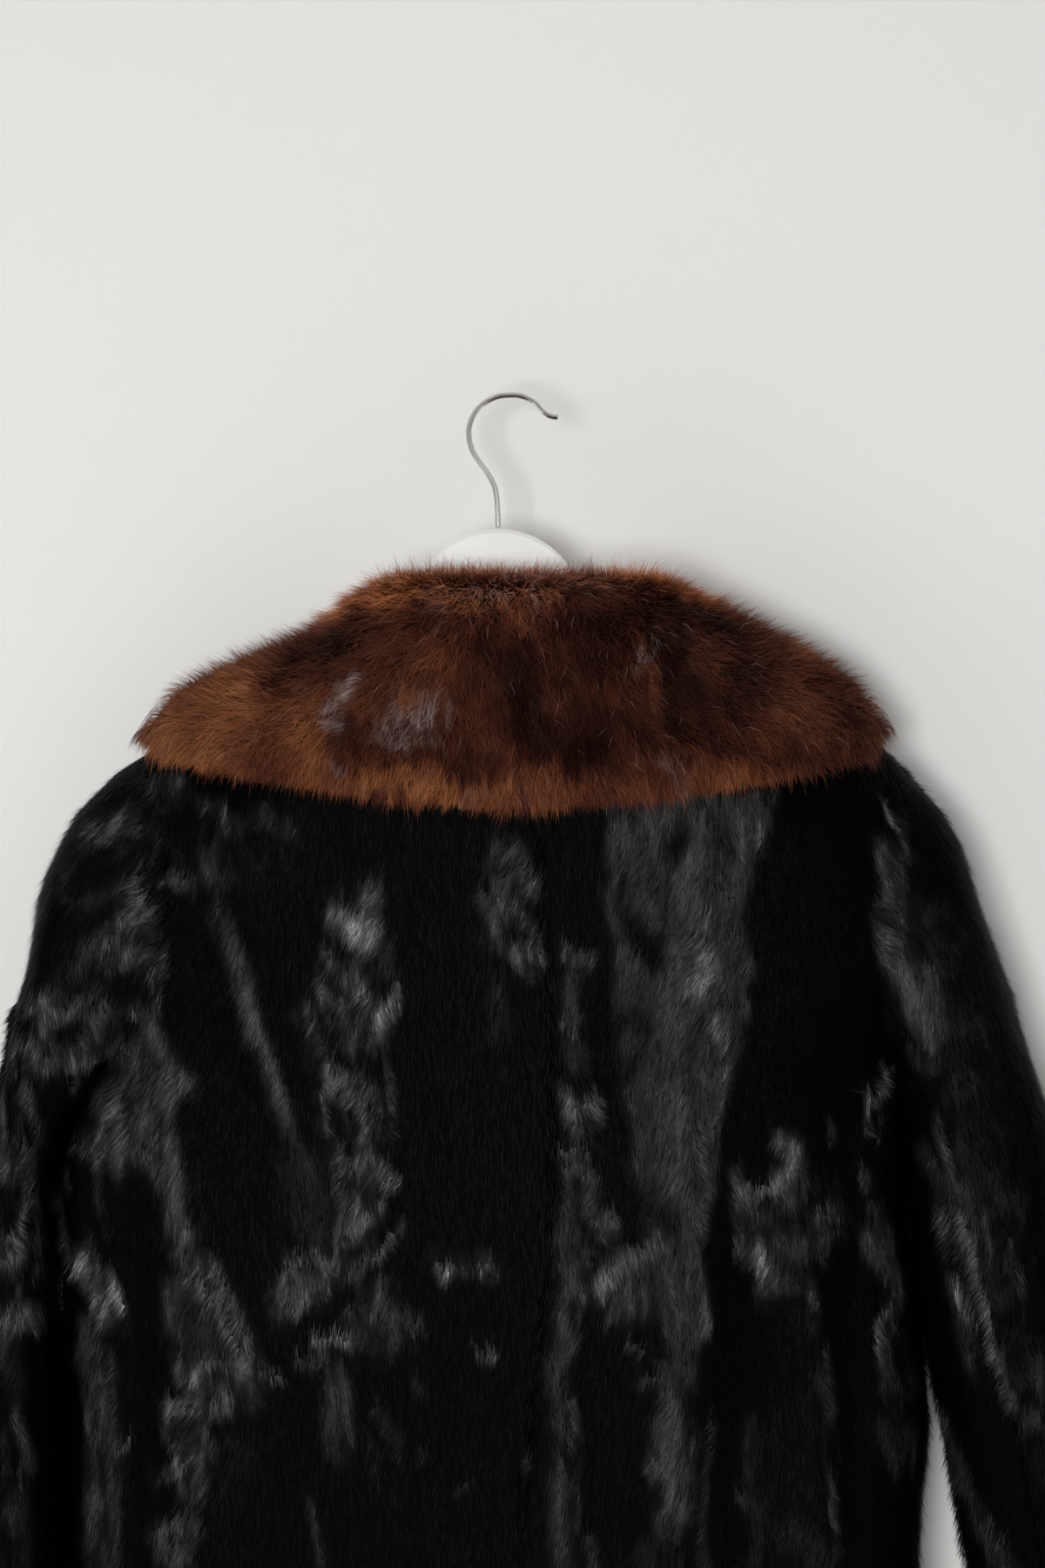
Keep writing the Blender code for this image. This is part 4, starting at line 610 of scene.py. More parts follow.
# The mink's colour, as strokes over its ground, in the same millimetres. tone 0 is
# the darkest brown and 1 the lightest rust.
MINK_TONES = (
    # x1, down1, x2, down2, half_width, tone, weight
    (-211, 207, -177, 189, 16.9, 0.80, 0.9),
    (-197, 207, -132, 207, 16.9, 0.82, 0.9),
    (-172, 182, -132, 197, 10.9, 0.66, 0.7),
    (-132, 222, -107, 229, 10.9, 0.72, 0.8),
    (-86, 230, -14, 240, 9.5, 0.80, 0.9),
    (-58, 226, -8, 240, 7.0, 0.76, 0.7),
    (12, 239, 71, 232, 8.9, 0.50, 0.9),
    (52, 224, 116, 226, 9.9, 0.54, 0.8),
    (121, 217, 180, 209, 9.9, 0.40, 0.8),
    (161, 187, 203, 202, 12.9, 0.50, 0.8),
    (151, 167, 180, 182, 10.9, 0.40, 0.6),
    (190, 197, 206, 207, 6.0, 0.42, 0.6),
    (-132, 155, -97, 140, 8.9, 0.22, 0.8),
    (-97, 145, -58, 150, 8.9, 0.28, 0.7),
    (-147, 170, -102, 167, 7.9, 0.34, 0.7),
    (-58, 138, -18, 145, 9.9, 0.24, 0.7),
    (-18, 132, 22, 138, 7.9, 0.26, 0.6),
    (-63, 162, -18, 177, 11.9, 0.40, 0.7),
    (-28, 162, -8, 212, 9.9, 0.34, 0.7),
    (-92, 177, -82, 197, 6.9, 0.44, 0.6),
    (-132, 177, -117, 197, 6.9, 0.50, 0.6),
    (-80, 114, -52, 116, 8.4, 0.72, 1.0),
    (-104, 128, -80, 118, 7.0, 0.62, 0.9),
    (-56, 124, -18, 116, 8.0, 0.57, 0.9),
    (-10, 118, 47, 114, 8.0, 0.57, 0.9),
    (44, 112, 98, 116, 7.0, 0.64, 1.0),
    (-144, 213, -128, 231, 9.0, 0.68, 0.8),
    (-14, 245, 18, 247, 5.0, 0.64, 0.7),
    (22, 142, 71, 138, 10.9, 0.13, 0.9),
    (42, 135, 81, 152, 11.9, 0.09, 0.9),
    (81, 127, 116, 147, 8.9, 0.16, 0.8),
    (116, 152, 151, 167, 8.9, 0.22, 0.8),
    (2, 152, 12, 222, 6.9, 0.12, 0.9),
    (22, 167, 42, 212, 12.9, 0.16, 0.8),
    (2, 212, 52, 222, 6.9, 0.12, 0.8),
    (27, 202, 91, 216, 6.9, 0.16, 0.8),
    (52, 167, 71, 197, 9.9, 0.20, 0.7),
    (121, 167, 132, 187, 8.9, 0.10, 0.9),
    (91, 197, 121, 207, 6.9, 0.28, 0.6),
    (69, 155, 77, 182, 4.5, 0.62, 0.8),
    (59, 182, 72, 197, 6.0, 0.44, 0.6),
    (111, 170, 120, 177, 5.0, 0.46, 0.7),
    (135, 201, 143, 207, 5.0, 0.60, 0.6),
    (116, 212, 126, 224, 4.5, 0.66, 0.6),
    (-95, 203, -92, 218, 3.5, 0.20, 0.7),
    (-97, 232, -93, 246, 3.0, 0.34, 0.7),
    (0, 222, 1, 254, 2.5, 0.12, 0.9),
    (-3, 152, -2, 212, 2.0, 0.10, 0.6),
    (-63, 217, -18, 218, 5.0, 0.34, 0.6),
    (-96, 212, -20, 212, 7.0, 0.45, 0.9),
    (-72, 150, -30, 158, 12.0, 0.46, 0.7),
    (-60, 172, -24, 196, 13.0, 0.44, 0.7),
    (64, 134, 100, 142, 10.0, 0.08, 1.0),
    (84, 150, 92, 196, 7.0, 0.10, 0.9),
    (4, 202, 34, 222, 8.0, 0.10, 0.9),
    (40, 150, 60, 150, 8.0, 0.16, 0.8),
    (104, 184, 140, 172, 9.0, 0.16, 0.9),
    (150, 150, 196, 178, 10.0, 0.36, 0.8),
    (180, 186, 214, 204, 12.0, 0.46, 0.9),
    (40, 164, 50, 174, 7.0, 0.10, 0.9),
    (-150, 228, -128, 232, 8.0, 0.58, 0.8),
    (-12, 244, 14, 246, 7.0, 0.60, 0.8),
    (116, 186, 134, 190, 7.0, 0.40, 0.8),
    (100, 160, 118, 158, 6.0, 0.36, 0.7),
    (-150, 178, -128, 168, 9.0, 0.44, 0.8),
    (-124, 160, -98, 156, 6.0, 0.42, 0.8),
    (-12, 150, 0, 200, 6.0, 0.12, 0.8),
)
# Patches of painted sheen on the mink, where it shows pale grey.
MINK_GREYS = (
    # x1, down1, x2, down2, half_width, amount
    (-111, 193, -101, 175, 3.5, 0.85),
    (-105, 172, -99, 170, 2.0, 0.60),
    (-76, 195, -55, 185, 4.5, 0.90),
    (-73, 201, -56, 205, 4.0, 0.75),
    (-60, 205, -50, 207, 2.0, 0.50),
    (-111, 217, -105, 218, 1.5, 0.70),
    (-43, 188, -38, 189, 2.0, 0.40),
    (71, 161, 81, 156, 1.5, 0.55),
    (64, 172, 70, 162, 2.0, 0.60),
    (-50, 124, -30, 118, 7.0, 0.18),
    (28, 118, 56, 114, 6.0, 0.20),
    (-26, 116, 8, 110, 7.0, 0.40),
    (8, 122, 16, 104, 6.0, 0.36),
    (80, 224, 96, 226, 2.6, 0.40),
    (-36, 232, -22, 231, 1.6, 0.40),
)
MINK_COLOURS = (
    # tone, red, green, blue
    (0.00, 0.0120, 0.0032, 0.0020),
    (0.20, 0.0300, 0.0084, 0.0046),
    (0.45, 0.0900, 0.0256, 0.0133),
    (0.70, 0.2150, 0.0722, 0.0286),
    (1.00, 0.4000, 0.1568, 0.0653),
)
# The pale grey of the mink's painted sheen and of its partings.
MINK_GREY = (0.36, 0.29, 0.27)
# The black of the flat pile, and the grey of its painted sheen.
BLACK = (0.0007, 0.0007, 0.0007)
PAINTED_SHEEN = (0.266, 0.269, 0.264)

# Mesh fineness
BODY_ACROSS, NECK_ACROSS, LAP_ACROSS = 48, 18, 4
ROWS_ABOVE, ROWS_BELOW = 48, 40
SLEEVE_RINGS = 56
FALL_ROWS = 26

HAIR_ROOM = 0.008  # the collar's skin stops this far inside its tips' reach
ROLL_DROP = {"left": 0.0065, "right": 0.0015}  # and lies lower over the shoulders
HAIR_REACH = 0.0068  # the hairs hang this far below the skin's lower edge
TIP_TURN = {"left": 0.80, "right": 1.05}  # how far the tips turn down over the sleeves
TIP_REACH = {"left": 0.0100, "right": 0.0025}
TIP_FALL = {"left": 0.0080, "right": 0.0125}
SKIN_OUT = 0.0022  # the skin lies this far inside the flat pile's surface
SKIN_IN = 0.0040
MINK_SKIN = 0.42  # share of the pile that the mink's own dense ground takes
SEED = 20261124

# How panels are joined up: points this near are one, and which way each grid turns
SHARED_WITHIN = 0.00012
UNDERARM_SLOPE = 0.020
UNDERARM_FILL = {"left": 0.0150, "right": 0.0050}  # the groove beside the body is this much shallower
DIRECTION_EASES = 3
OUTWARD = {
    "back_left": 1,
    "back_right": -1,
    "front_left": -1,
    "front_right": 1,
    "sleeve_top_left": -1,
    "sleeve_top_right": 1,
    "sleeve_under_left": -1,
    "sleeve_under_right": 1,
}

# Hairs: how many, how long and how wide
BACK_HAIRS, FRONT_HAIRS, SLEEVE_HAIRS, UNDER_HAIRS = 112000, 56000, 60000, 14000
PILE_LONG, PILE_WIDE = 0.0074, 0.00064
GROUND_HAIRS, GROUND_LONG, GROUND_WIDE = 95000, 0.0120, 0.00062
GUARD_HAIRS, GUARD_LONG, GUARD_WIDE = 20000, 0.0180, 0.00036

WALL_COLOUR = (0.82, 0.815, 0.80)
WALL_Y, FLOOR_Z = 0.108, -1.35
LIGHTS = (
    # name, place, watts, size
    ("key", (-0.32, -2.5, -0.34), 37.0, 0.42),
    ("wash", (-2.3, -1.6, -0.2), 7.0, 1.0),
    ("fill", (1.2, -2.6, -0.3), 3.5, 1.6),
    ("glint", (0.95, -1.2, 0.95), 1.2, 0.8),
    ("back_key", (0.45, 2.5, -0.25), 36.0, 0.6),
    ("back_fill", (-1.6, 2.0, 0.0), 9.0, 1.5),
)


# ---------------------------------------------------------------- curves and form
def column(table, names, name):
    return np.array([row[names.index(name)] for row in table], float)


def smooth(xs, ys, at):
    """A smooth curve through the rows of a table, read at some places."""
    xs, ys = np.asarray(xs, float), np.asarray(ys, float)
    at = np.clip(np.asarray(at, float), xs[0], xs[-1])
    slope = np.gradient(ys, xs)
    i = np.clip(np.searchsorted(xs, at) - 1, 0, len(xs) - 2)
    h = xs[i + 1] - xs[i]
    t = (at - xs[i]) / h
    return (
        (2 * t**3 - 3 * t**2 + 1) * ys[i]
        + (t**3 - 2 * t**2 + t) * h * slope[i]
        + (3 * t**2 - 2 * t**3) * ys[i + 1]
        + (t**3 - t**2) * h * slope[i + 1]
    )


def body_at(name, down):
    return smooth(column(BODY, BODY_COLUMNS, "down"), column(BODY, BODY_COLUMNS, name), down)


def ease(t):
    t = np.clip(t, 0, 1)
    return t * t * (3 - 2 * t)


def back_seam_x(down):
    return smooth([r[0] for r in BACK_SEAM], [r[1] for r in BACK_SEAM], down)


def ridge_down(x):
    return smooth([r[0] for r in RIDGE], [r[1] for r in RIDGE], np.abs(x))


def closing(x, down):
    """How far the form has opened below the shoulder's ridge: 0 on the ridge, 1 well below."""
    t = np.clip((down - ridge_down(x)) / SHOULDER_DROP, 0, 1)
    return (1 - (1 - t) ** RIDGE_ROUND) ** (1 / RIDGE_ROUND)


def folds(face, x, down):
    """How far the drape folds move a face out at x and down."""
    total = np.zeros_like(x * down)
    for where, x1, d1, x2, d2, half_width, out in FOLDS + CREASES:
        if where != face:
            continue
        run = np.array([x2 - x1, d2 - d1])
        along = ((x - x1) * run[0] + (down - d1) * run[1]) / (run @ run)
        across = ((x - x1) * run[1] - (down - d1) * run[0]) / np.linalg.norm(run)
        fade = ease(np.minimum(along + 0.12, 1.12 - along) / 0.3)
        total = total + out * fade * np.exp(-((across / half_width) ** 2))
    return total


def face_y(face, x, down):
    """y of the body's outer face at x and down."""
    x, down = np.broadcast_arrays(np.asarray(x, float), np.asarray(down, float))
    half = np.where(x < 0, body_at("left", down), body_at("right", down))
    n = body_at("square", down)
    share = np.clip(np.abs(x) / half, 0, 1)
    round_it = (1 - share**n) ** (1 / n)
    depth = body_at(face, down)
    reach = (depth + folds(face, x, down) * round_it) * round_it * closing(x, down)
    return -reach if face == "back" else reach


class Section:
    """Level sections of one quarter of the body, measured by length along the cloth."""

    DOWNS = np.linspace(0.100, 1.100, 126)
    SHARES = np.linspace(0, 1, 81)

    def __init__(self, face, side, start_x):
        self.face, self.side = face, side
        self.sign = 1.0 if side == "right" else -1.0
        self.x = np.zeros((len(self.DOWNS), len(self.SHARES)))
        self.round = np.zeros_like(self.x)
        for k, down in enumerate(self.DOWNS):
            half, depth = float(body_at(side, down)), float(body_at(face, down))
            n = float(body_at("square", down))
            first = float(start_x(down)) * self.sign
            other = float(body_at("left" if side == "right" else "right", down))
            start = math.asin(min(1.0, (abs(first) / (half if first > 0 else other)) ** (n / 2)))
            angle = np.linspace(start if first > 0 else -start, math.pi / 2, 400)
            width = np.where(angle < 0, other, half)
            x = np.sign(angle) * width * np.abs(np.sin(angle)) ** (2 / n)
            round_it = np.abs(np.cos(angle)) ** (2 / n)
            y = depth * round_it
            length = np.concatenate([[0], np.cumsum(np.hypot(np.diff(x), np.diff(y)))])
            self.x[k] = np.interp(self.SHARES * length[-1], length, x)
            self.round[k] = np.interp(self.SHARES * length[-1], length, round_it)

    def _read(self, table, share, down):
        i = np.clip((down - self.DOWNS[0]) / (self.DOWNS[1] - self.DOWNS[0]), 0, len(self.DOWNS) - 1.001)
        j = np.clip(share * (len(self.SHARES) - 1), 0, len(self.SHARES) - 1.001)
        a, b = i.astype(int), j.astype(int)
        u, v = i - a, j - b
        return (
            table[a, b] * (1 - u) * (1 - v)
            + table[a + 1, b] * u * (1 - v)
            + table[a, b + 1] * (1 - u) * v
            + table[a + 1, b + 1] * u * v
        )

    def share_of(self, x, down):
        """The share of the way round at which the section has this x."""
        found = []
        for one_x, one_down in zip(np.ravel(x), np.ravel(down)):
            line = self._read(self.x, self.SHARES, np.full(len(self.SHARES), one_down))
            found.append(np.interp(one_x * self.sign, line, self.SHARES))
        return np.array(found)

    def points(self, share, down):
        """Points of the outer face, x from the coat's centre plane."""
        share, down = np.asarray(share, float), np.asarray(down, float)
        x = self._read(self.x, share, down) * self.sign
        round_it = self._read(self.round, share, down)
        depth = body_at(self.face, down)
        reach = (depth + folds(self.face, x, down) * round_it) * round_it * closing(x, down)
        lift = 0.0
        if self.face == "front" and self.side == "right":
            lift = lap_lift(x, down)
        y = -reach if self.face == "back" else reach + lift
        return np.stack([x, y, -down], axis=-1)


def armhole(side, angle):
    """x and down of the armhole, round from the shoulder (0) to the underarm (pi)."""
    top_x, _, top_down, low_x, _, low_down, _ = (SLEEVE_RIGHT if side == "right" else SLEEVE_LEFT)[0]
    c = np.cos(angle)
    x = (top_x + low_x) / 2 + c * (top_x - low_x) / 2 - ARMHOLE_SCOOP[side] * np.sin(angle) ** 2
    down = (top_down + low_down) / 2 + c * (top_down - low_down) / 2
    return x * (1 if side == "right" else -1), down


def unit(v):
    return v / np.maximum(np.linalg.norm(v, axis=-1, keepdims=True), 1e-12)


def grid_normals(points, row, toward):
    """Outward directions of a grid of points; in the middle of that row they point toward."""
    along, across = np.gradient(points, axis=0), np.gradient(points, axis=1)
    n = unit(np.cross(along, across))
    return n if n[row, points.shape[1] // 2] @ np.asarray(toward, float) > 0 else -n


# ---------------------------------------------------------------- body panels
def front_start(side):
    return lambda down: -LAP if side == "right" else LAP


def neckline_down(face, x):
    """The neckline's height across the neck."""
    share = np.clip(np.abs(x) / NECK_X, 0, 1)
    if face == "back":
        return NECK_DOWN + (NECK_BACK_DOWN - NECK_DOWN) * (1 - share**2.2) ** (1 / 1.6)
    return NECK_DOWN + (NECK_FRONT_DOWN - NECK_DOWN) * (1 - share**1.4) ** (1 / 1.15)


def lap_lift(x, down):
    """How far the upper front stands out from the body's form to clear the lower one."""
    return LAP_LIFT * ease((LAP_EASE - x) / (LAP_EASE - 0.045)) * ease((down - ridge_down(x)) / 0.07)


SECTIONS = {}


def section_of(face, side):
    """The quarter's level sections, worked out once."""
    if (face, side) not in SECTIONS:
        start = back_seam_x if face == "back" else front_start(side)
        SECTIONS[face, side] = Section(face, side, start)
    return SECTIONS[face, side]


def armhole_edge(face, side):
    """The corners of a panel's armhole: their turn, share, distance down and points."""
    section = section_of(face, side)
    turn = np.pi * (np.arange(ROWS_ABOVE + 1) / ROWS_ABOVE)
    x, down = armhole(side, turn)
    share = section.share_of(x, down)
    share[-1] = 1.0
    return turn, share, down, section.points(share, down)


def neck_edge(face, side):
    """The corners of a panel's neckline, from its centre: their share, distance down and points."""
    section, sign = section_of(face, side), 1 if side == "right" else -1
    if face == "back":
        x = NECK_X * np.sin(np.pi / 2 * np.arange(NECK_ACROSS + 1) / NECK_ACROSS)
        x[0] = back_seam_x(float(neckline_down(face, 0.0))) * sign
    else:
        more = NECK_ACROSS - LAP_ACROSS
        inward = FRONT_COLLAR_END + (NECK_X - FRONT_COLLAR_END) * np.sin(np.pi / 2 * np.arange(more + 1) / more)
        x = np.concatenate([np.linspace(-LAP, FRONT_COLLAR_END, LAP_ACROSS + 1)[:-1], inward])
    down = neckline_down(face, np.maximum(x, 0))
    share = section.share_of(x * sign, down)
    share[0] = 0.0
    return x * sign, share, down, section.points(share, down)


def panel(face, side):
    """The outer points of a body panel: rows down from the neck and shoulder, columns out from its centre."""
    sign = 1 if side == "right" else -1
    section = section_of(face, side)
    rows = ROWS_ABOVE + ROWS_BELOW + 1
    # Down the centre line and down the armhole and side seam
    turn, arm_share, arm_d, arm_points = armhole_edge(face, side)
    neck_x, neck_share, neck_d, neck_points = neck_edge(face, side)
    top_centre, armpit = float(neck_d[0]), float(arm_d[-1])
    level = armpit + 0.012
    shares = (np.arange(ROWS_ABOVE + 1) / ROWS_ABOVE) ** 1.35
    below = (np.arange(1, ROWS_BELOW + 1) / ROWS_BELOW) ** 1.35
    centre_d = np.concatenate([top_centre + (level - top_centre) * shares, level + (HEM_DOWN - level) * below])
    side_d = np.concatenate([arm_d, armpit + (HEM_DOWN - armpit) * below])
    side_s = np.concatenate([arm_share, np.ones(ROWS_BELOW)])
    # Across the neckline and the shoulder seam
    shoulder_x = float(armhole(side, np.array([0.0]))[0][0])
    ridge_x = np.linspace(sign * NECK_X, shoulder_x, BODY_ACROSS - NECK_ACROSS + 1)[1:]
    top_x = np.concatenate([neck_x, ridge_x])
    top_d = np.concatenate([neck_d, ridge_down(ridge_x)])
    top_s = np.concatenate([neck_share, section.share_of(ridge_x, top_d[NECK_ACROSS + 1 :])])
    top_s[-1], top_d[-1] = side_s[0], side_d[0]
    u = np.arange(BODY_ACROSS + 1) / BODY_ACROSS
    v = (centre_d - centre_d[0]) / (centre_d[-1] - centre_d[0])
    share, down = np.zeros((rows, len(u))), np.zeros((rows, len(u)))
    for grid, centre, edge, top, bottom in (
        (share, np.zeros(rows), side_s, top_s, u),
        (down, centre_d, side_d, top_d, np.full(len(u), HEM_DOWN)),
    ):
        for i in range(rows):
            flat = (1 - u) * centre[i] + u * edge[i]
            bend_top = top - ((1 - u) * centre[0] + u * edge[0])
            bend_low = bottom - ((1 - u) * centre[-1] + u * edge[-1])
            grid[i] = flat + (1 - v[i]) ** 3 * bend_top + v[i] * bend_low
    # Rows leave the underarm sloping down, half way between armhole and side seam.
    i = np.arange(rows)
    near = np.where(i <= ROWS_ABOVE, i / ROWS_ABOVE, (rows - 1 - i) / ROWS_BELOW) ** 2
    down += UNDERARM_SLOPE * near[:, None] * (1 - u**14)[None]
    return section.points(share, down)


# ---------------------------------------------------------------- sleeves
def sleeve_table(side):
    return SLEEVE_RIGHT if side == "right" else SLEEVE_LEFT


def armhole_loop(side, angle):
    """The armhole's points round from its outer line, back first, read between the corners."""
    turn, _, _, back = armhole_edge("back", side)
    front = armhole_edge("front", side)[3]
    back, front = back.copy(), front.copy()
    for k in (0, -1):
        back[k] = front[k] = (back[k] + front[k]) / 2
    loop = np.concatenate([back, front[-2::-1]])
    turns = np.concatenate([turn, 2 * math.pi - turn[-2::-1]])
    at = np.mod(angle, 2 * math.pi)
    return np.stack([np.interp(at, turns, loop[:, k]) for k in range(3)], axis=-1)


def sleeve_ring(side, ring, angle):
    """Points of one ring of a sleeve. ring counts rows of the table and may lie between two."""
    table, sign = sleeve_table(side), 1 if side == "right" else -1
    rows = np.arange(len(table))
    value = {
        name: float(smooth(rows, column(table, SLEEVE_COLUMNS, name), ring)) for name in SLEEVE_COLUMNS
    }
    c, s = np.cos(angle), np.sin(angle)
    round_c = np.sign(c) * np.abs(c) ** (2 / SLEEVE_SQUARE)
    round_s = np.sign(s) * np.abs(s) ** (2 / SLEEVE_SQUARE)
    mid = [(value["out_" + k] + value["in_" + k]) / 2 for k in ("x", "y", "down")]
    half = [(value["out_" + k] - value["in_" + k]) / 2 for k in ("x", "y", "down")]
    scoop = ARMHOLE_SCOOP[side] * max(0.0, 1 - ring / 2.5) ** 2 * s**2
    x = mid[0] + half[0] * round_c - scoop
    y = mid[1] + half[1] * round_c - value["half_y"] * round_s
    down = mid[2] + half[2] * round_c
    full = np.stack([x * sign, y, -down], axis=-1)
    # Near the armhole the ring turns into the armhole's own line.
    near = 1 - ease(ring / SLEEVE_EASE)
    return full + (armhole_loop(side, angle) - full) * near if near > 0 else full


def sleeve(side):
    """The outer points of the top and the under sleeve: rows from armhole to cuff, columns round."""
    rings = np.concatenate([[0.0, 0.6, 1.2, 1.8], np.linspace(2.5, 12.0, SLEEVE_RINGS - 4)])
    at = column(SLEEVE_SEAM, SEAM_COLUMNS, "ring")
    back_seam = smooth(at, column(SLEEVE_SEAM, SEAM_COLUMNS, f"{side}_back"), rings)
    front_seam = smooth(at, column(SLEEVE_SEAM, SEAM_COLUMNS, "front"), rings)
    step = 180.0 / ROWS_ABOVE
    made = []
    for first, last in ((-front_seam, back_seam), (back_seam, 360.0 - front_seam)):
        across = int(round((last[0] - first[0]) / step))
        rows = [
            sleeve_ring(side, ring, np.linspace(a, b, across + 1))
            for ring, a, b in zip(rings, np.radians(first), np.radians(last))
        ]
        made.append(np.array(rows))
    return made


def share_seams(grids):
    """Gives panels that meet the same points and outward directions along their seams."""
    names = list(grids)
    points = np.concatenate([grids[n].reshape(-1, 3) for n in names])
    tree = KDTree(len(points))
    for i, p in enumerate(points):
        tree.insert(p, i)
    tree.balance()
    owner = np.array([min(k for _, k, _ in tree.find_range(p, SHARED_WITHIN)) for p in points])
    owner = owner[owner]
    total, count = np.zeros_like(points), np.zeros(len(points))
    np.add.at(total, owner, points)
    np.add.at(count, owner, 1)
    points = total[owner] / count[owner][:, None]
    directions = np.zeros_like(points)
    links = []
    start = 0
    for n in names:
        rows, columns = grids[n].shape[:2]
        cell = np.arange(start, start + rows * columns).reshape(rows, columns)
        start += rows * columns
        a, b, c, d = (owner[x].ravel() for x in (cell[:-1, :-1], cell[:-1, 1:], cell[1:, 1:], cell[1:, :-1]))
        face = np.cross(points[c] - points[a], points[d] - points[b]) * OUTWARD[n]
        for k in (a, b, c, d):
            np.add.at(directions, k, unit(face))
        links += [(a, b), (b, c), (c, d), (d, a)]
    directions = unit(directions)
    for _ in range(DIRECTION_EASES):
        near = directions.copy() * 2
        for a, b in links:
            np.add.at(near, a, directions[b])
            np.add.at(near, b, directions[a])
        directions = unit(near)
    directions = directions[owner]
    result, start = {}, 0
    for n in names:
        rows, columns = grids[n].shape[:2]
        size = rows * columns
        result[n] = (
            points[start : start + size].reshape(rows, columns, 3),
            directions[start : start + size].reshape(rows, columns, 3),
        )
        start += size
    return result


# ---------------------------------------------------------------- collar
def push_out(point, lift):
    """Moves a point out of the body, the lapped fronts and the sleeve heads, along its level x."""
    x, y, down = point[0], point[1], -point[2]
    face, out = ("back", -1.0) if y < 0 else ("front", 1.0)
    inner_x = math.copysign(min(abs(x), 0.205), x)
    share = np.linspace(0, 1, 60) ** 2
    at = float(ridge_down(x)) + (SHOULDER_DROP + 0.10) * share
    reach = np.abs(face_y(face, inner_x, at)) / np.maximum(closing(inner_x, at), 1e-6) * closing(x, at)
    if face == "front":
        reach = reach + lap_lift(x, at)
    reach[0] = 0.0
    k = int(np.argmin((reach - abs(y)) ** 2 + (at - down) ** 2))
    a, b = max(k - 1, 0), min(k + 1, len(at) - 1)
    tangent = np.array([reach[b] - reach[a], at[b] - at[a]])
    if k == 0:
        tangent = np.array([1.0, 0.0])
    tangent /= np.linalg.norm(tangent)
    normal = np.array([tangent[1], -tangent[0]])  # (outwards in y, upwards)
    gap = (abs(y) - reach[k]) * normal[0] + (down - at[k]) * normal[1]
    if gap >= lift:
        return point
    return np.array([x, (abs(y) + normal[0] * (lift - gap)) * out, -(down + normal[1] * (lift - gap))])


def collar_base(side, panels):
    """The collar's base round the neckline, from the panels' own corners and their middles."""
    back, back_way = (grid[0, : NECK_ACROSS + 1] for grid in panels[f"back_{side}"])
    front, front_way = (grid[0, LAP_ACROSS : NECK_ACROSS + 1] for grid in panels[f"front_{side}"])
    made = []
    for a, b in ((back, front), (back_way, front_way)):
        corners = np.concatenate([a, b[-2::-1]])
        line = np.empty((2 * len(corners) - 1, 3))
        line[::2] = corners
        line[1::2] = (corners[:-1] + corners[1:]) / 2
        made.append(line)
    base, way = made[0], unit(made[1])
    run = unit(np.gradient(base, axis=0))
    off = unit(np.cross(run, way))
    off *= np.sign(off[0, 2] if abs(off[0, 2]) > 0.1 else 1.0)
    return base + off * SEAM_GAP, way


